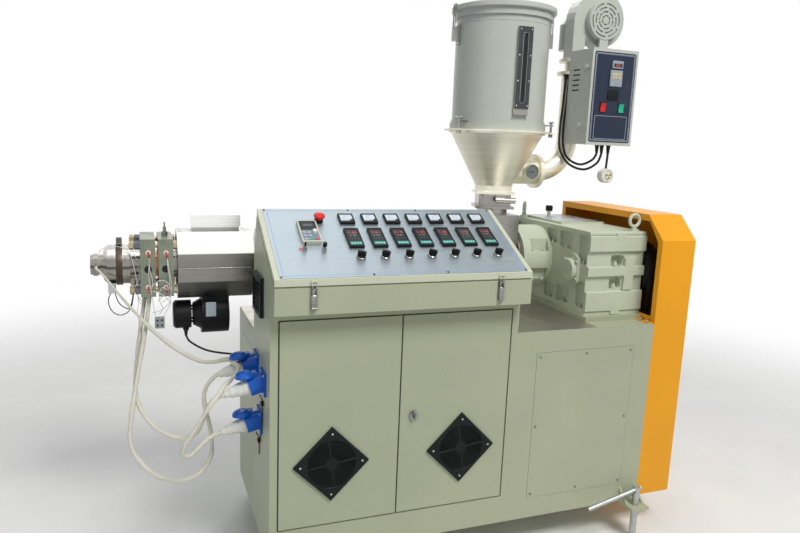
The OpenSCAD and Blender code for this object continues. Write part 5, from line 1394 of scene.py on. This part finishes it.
on_machine("sight_strip", on_strip(ring_frame(56, 288, 2, 18, 246, 9, 1.6, 0.5), 0, 0),
           "stainless_sheet", dark_chrome)
on_machine("sight_edge", on_strip(ring_frame(21.5, 249.5, 10.7, 18, 246, 9, 2.6, 0.6), 0, 0),
           "bright_metal")
on_machine("sight_window", on_strip(plate(17.6, 244, 1.0, 8.5, 0.3), 0, 0, -4.9),
           "black_plastic", smoke)
strip_screws = [on_strip(pan_head(7), 22 * i, z, 1.5)
                for i in (-1, 1) for z in (-134, -46, 44, 134)]
on_machine("sight_screws", strip_screws, "bright_metal")
print(len(strip_screws), "screws on the strip")

# %% Thermometer
DIAL_X, DIAL_Y, DIAL_Z = 1092, 387, 1361
NEEDLE = -95


def on_dial(shape, radius, out, degrees=0.0):
    """Sets a shape at a radius on the dial, clockwise from the top, pointing away from it."""
    a = math.radians(degrees)
    return at(shape, FRONT, DIAL_X + radius * math.sin(a), DIAL_Y - out,
              DIAL_Z + radius * math.cos(a), -degrees)


tick = plate(0.9, 4.0, 0.3, 0.3, 0.1, 2)
dial_marks = [on_dial(tick, 20.5, 1.6, degrees) for degrees in np.linspace(-135, 135, 13)]
dial_marks.append(on_dial(plate(1.4, 24, 0.4, 0.5, 0.1, 2), 8, 2.0, NEEDLE))
dial_marks.append(on_dial(mm([(0, 0), (3, 0), (2.6, 1.4), (0, 1.6)], 16), 0, 2.0))
on_machine("thermometer_marks", dial_marks, "black_plastic")
grey_dial = moulded("grey_dial", (0.16, 0.18, 0.18), rough=0.25)
on_machine("thermometer_face", on_dial(disc(25.5, 1.5, 1.6, 40), 0, 0), "white_plastic",
           grey_dial)
rim = mm([(25, 0), (28, 0), (28.0, 3.4), (26.6, 4.6), (25, 3.2), (25, 0)], 48)
on_machine("thermometer_rim", on_dial(rim, 0, 0), "bright_metal")
print(len(dial_marks), "marks on the dial")

# %% The dryer's blue plate
navy = painted("navy_face", (0.012, 0.020, 0.046), rough=0.34)
pale_line = moulded("pale_line", (0.42, 0.47, 0.56), rough=0.4)
BOX_X, BOX_Y, BOX_Z = 1348.5, 269, 1652.6
DRAWN_TO_REAL = 0.944


def on_box(shape, x, z, out=0.9):
    """Sets a shape down on the dryer's plate, x to the right and z above its middle. All is
    drawn for a plate 198 mm wide and comes down to the door's own size."""
    k = DRAWN_TO_REAL
    return at((shape[0] * k, shape[1]), FRONT, BOX_X + x * k, BOX_Y - out * k, BOX_Z + z * k)


def on_door(name, shapes, slot, finish=None, smooth=True):
    """One or more placed shapes as a piece that goes with the dryer's door."""
    shape = join(shapes) if isinstance(shapes, list) else shapes
    return piece(name, shape, "dryer_door", slot, finish, smooth)


face = plate(188, 334, 0.9, 8, 0.3, 8)
on_door("dryer_face", at(face, FRONT, BOX_X, BOX_Y, BOX_Z), "blue_plastic", navy)
face_lines = [on_box(ring_frame(189, 343, 7, 185.5, 339.5, 5.5, 0.35, 0.1), 0, 0),
              on_box(ring_frame(181.5, 335.5, 5, 179.5, 333.5, 4, 0.35, 0.1), 0, 0),
              on_box(ring_frame(158, 92, 6, 155, 89, 5, 0.35, 0.1), 0, -118)]
on_door("dryer_face_lines", face_lines, "white_plastic", pale_line)
print("blue plate with", len(face_lines), "lines")

# %% Beads rolled round the hopper's cylinder
r = HOPPER_RADIUS
bead_ring = mm([(r, 0), (r + 0.9, 0.7), (r, 1.4), (r - 1, 0.7), (r, 0)], 96)
beads = [at(bead_ring, TOP, HOPPER_X, HOPPER_Y, z) for z in (1899, 1544)]
on_machine("hopper_beads", beads, "white_paint")
print(len(beads), "beads")

# %% [markdown]
# ### Display, clock and rocker switches
# The dryer's controls sit on the blue plate: a grey temperature display on top, a plug-in clock
# with three cream number wheels, a small dark cover, and the red and green rocker switches in
# their black frames. A rocker is one five-cornered profile drawn out sideways, and its faces
# stay flat, because smooth shading would round its edges away.

# %% Dryer controls
SIDES = (-1, 0, 1)
grey_case = moulded("grey_case", (0.30, 0.335, 0.38), rough=0.4)
cream_wheel = moulded("cream_wheel", (0.62, 0.56, 0.36), rough=0.4)

on_door("dryer_display_case", on_box(plate(52, 30, 5, 3, 1.2), 10, 130), "white_plastic",
        grey_case)
on_door("dryer_display", on_box(plate(40, 14, 0.6, 1, 0.2), 10, 127, 5.9), "black_plastic",
        finishes["display_dark"])
on_door("dryer_digits", on_box(digits("080", 9), 10, 127, 6.5), "red_plastic",
        finishes["red_digits"])
on_door("dryer_clock_case", on_box(plate(58, 64, 7, 3, 1.5), 6, 76), "white_plastic", grey_case)
wheels = [on_box(plate(12, 22, 1.6, 2, 0.6), 6 + 14 * i, 86, 7.9) for i in SIDES]
on_door("dryer_clock_wheels", wheels, "white_plastic", cream_wheel)
figures = [on_box(digits(k, 9), 6 + 14 * i, 86, 9.5) for i, k in zip(SIDES, "030")]
on_door("dryer_clock_marks", figures, "black_plastic")
clock_screws = [on_box(pan_head(4), 6 + 22 * i, 53, 7.9) for i in SIDES]
on_door("dryer_clock_screws", clock_screws, "bright_metal")
on_door("dryer_cover", on_box(plate(52, 40, 4, 3, 1.2), 0, 10), "black_plastic")
print("display and clock ready")

# %% Rocker switches
ROCKER_HALF = 11.8
ROCKER_X, ROCKER_Z = 44, -40
profile = np.array([(-17, 0.5), (-17, 4.2), (0, 3.0), (17, 6.8), (17, 0.5)])
n = len(profile)
rocker_points = np.concatenate([np.column_stack([np.full(n, s * ROCKER_HALF), profile])
                                for s in (-1, 1)]) * MM
rocker_faces = [[i, (i + 1) % n, n + (i + 1) % n, n + i] for i in range(n)]
rocker_faces += [list(range(n - 1, -1, -1)), list(range(n, 2 * n))]
rocker = (rocker_points, rocker_faces)
on_door("rocker_red", on_box(rocker, -ROCKER_X, ROCKER_Z), "red_plastic", smooth=False)
on_door("rocker_green", on_box(rocker, ROCKER_X, ROCKER_Z), "blue_plastic",
        finishes["green_key"], smooth=False)
rocker_frame = ring_frame(29, 40, 2, 24, 34, 1, 3.2, 0.8)
frames = [on_box(rocker_frame, x, ROCKER_Z) for x in (-ROCKER_X, ROCKER_X)]
on_door("rocker_frames", frames, "black_plastic")
print("rockers ready")

# %% [markdown]
# ## Strain reliefs
# A lead doesn't leave its housing through a bare hole. A tapered rubber sleeve with rings holds
# it, so that it can't be bent sharply at the wall or pulled out. The rings are part of the
# profile, which costs nothing, where separate hoops would need joining.

# %% Strain reliefs
FLANGE_OUT, FLANGE_HIGH = 6, 3
RING_COUNT_ON_SLEEVE = 5
ROOM = 0.3


def relief(x, y, z, lead, long):
    """A sleeve that hangs from a flange and tapers to the lead's own size, with five rings
    along it: the radius falls in a straight line and a sine adds the rings."""
    share = np.linspace(0, 1, 22)
    rings = 0.45 * np.sin(share * RING_COUNT_ON_SLEEVE * 2 * math.pi)
    radius = lead / 2 + 0.4 + (1 - share) * 3.4 + rings
    inner, flange, foot = lead / 2 + ROOM, lead / 2 + FLANGE_OUT, FLANGE_HIGH + 0.5
    profile = [(inner, 0), (flange, 0), (flange, FLANGE_HIGH)]
    profile += [(r, foot + s * (long - foot)) for r, s in zip(radius, share)]
    profile += [(inner, long)]
    return set_down(mm(profile, 20), spot(x, y, z), (1, 0, 0), (0, -1, 0))


reliefs = [relief(1353, 313.5, 1475.6, 9, 32), relief(1333, 317, 1475.6, 9, 32),
           relief(1376.6, 304, 1475.6, 9, 36), relief(1244, 436, 1745, 9, 24),
           relief(1256, 429, 1745, 9, 24), relief(-212, 443, 787, 7, 24)]
on_machine("strain_reliefs", reliefs, "black_rubber")
print(len(reliefs), "strain reliefs")

# %% [markdown]
# ### The dryer's plug
# Its face has a raised rim, two flat blades and a round earth pin. The lead's cores show for a
# moment where they go in. The plug's body is a solid, and only these are too fine for it.

# %% Plug face and cores
PLUG_X, PLUG_Y, PLUG_Z = 1374, 290, 1356.6

rim = mm([(21, 0), (26.5, 0), (26.5, 1.4), (25.4, 2.4), (22, 2.4), (21, 1.4), (21, 0)], 40)
on_machine("plug_rim", at(rim, FRONT, PLUG_X, PLUG_Y, PLUG_Z), "white_plastic")
flat_pin = plate(2.2, 7.5, 15, 0.8, 0.4)
pins = [at(flat_pin, FRONT, PLUG_X + 8.5 * i, PLUG_Y, PLUG_Z + 3, 18 * i) for i in (-1, 1)]
earth_pin = mm([(0, 17), (1.6, 17), (2.4, 16), (2.4, 0), (0, 0)], 14)
pins.append(at(earth_pin, FRONT, PLUG_X, PLUG_Y, PLUG_Z - 9))
on_machine("plug_pins", pins, "machined_steel", finishes["brassy_steel"])
cores = {"brown": (0.16, 0.06, 0.02), "blue": (0.03, 0.12, 0.45), "yellow": (0.60, 0.50, 0.05)}
for i, (name, colour) in enumerate(cores.items()):
    route = [(1374 + 0.6 * i, 303, 1390), (1372 + 2.6 * i, 302, 1386), (1371 + 3.2 * i, 303, 1381)]
    finish = moulded("core_" + name, colour, rough=0.4)
    on_machine("plug_core_" + name, wire(route, 2.4, 8, 2), "black_rubber", finish)
print("plug dressed")

# %% [markdown]
# ## Draw latches
# A pressed lever with a crowned back pulls a wire loop down over the keeper on the lid. Its lower
# end is rolled to take a thumb. The lever is a slab whose middle is lifted to a crown, and the
# roll and the loop are wires. The latches stay with the cabinet, in the closed place.

# %% Levers, rolls and loops
latches = []
for x in (115, 730):
    lever = plate(16, 38, 1.6, 5, 0.6, 8, 3.2)
    latches.append(at(lever, FRONT, x, -72, 989))
    thumb_roll = [(x - 8, -76, 969), (x, -76.4, 968.6), (x + 8, -76, 969)]
    latches.append(wire(thumb_roll, 6.5, 14, 2))
    half = [(6.5, -73, 1004), (6.5, -74.5, 1016), (6, -74.5, 1033), (3, -74, 1037)]
    loop = [(x - dx, y, z) for dx, y, z in half] + [(x + dx, y, z) for dx, y, z in half[::-1]]
    latches.append(wire(loop, 2.6, 10, 2))
on_machine("latch_levers", latches, "bright_metal")
print(len(latches), "parts on the latches")
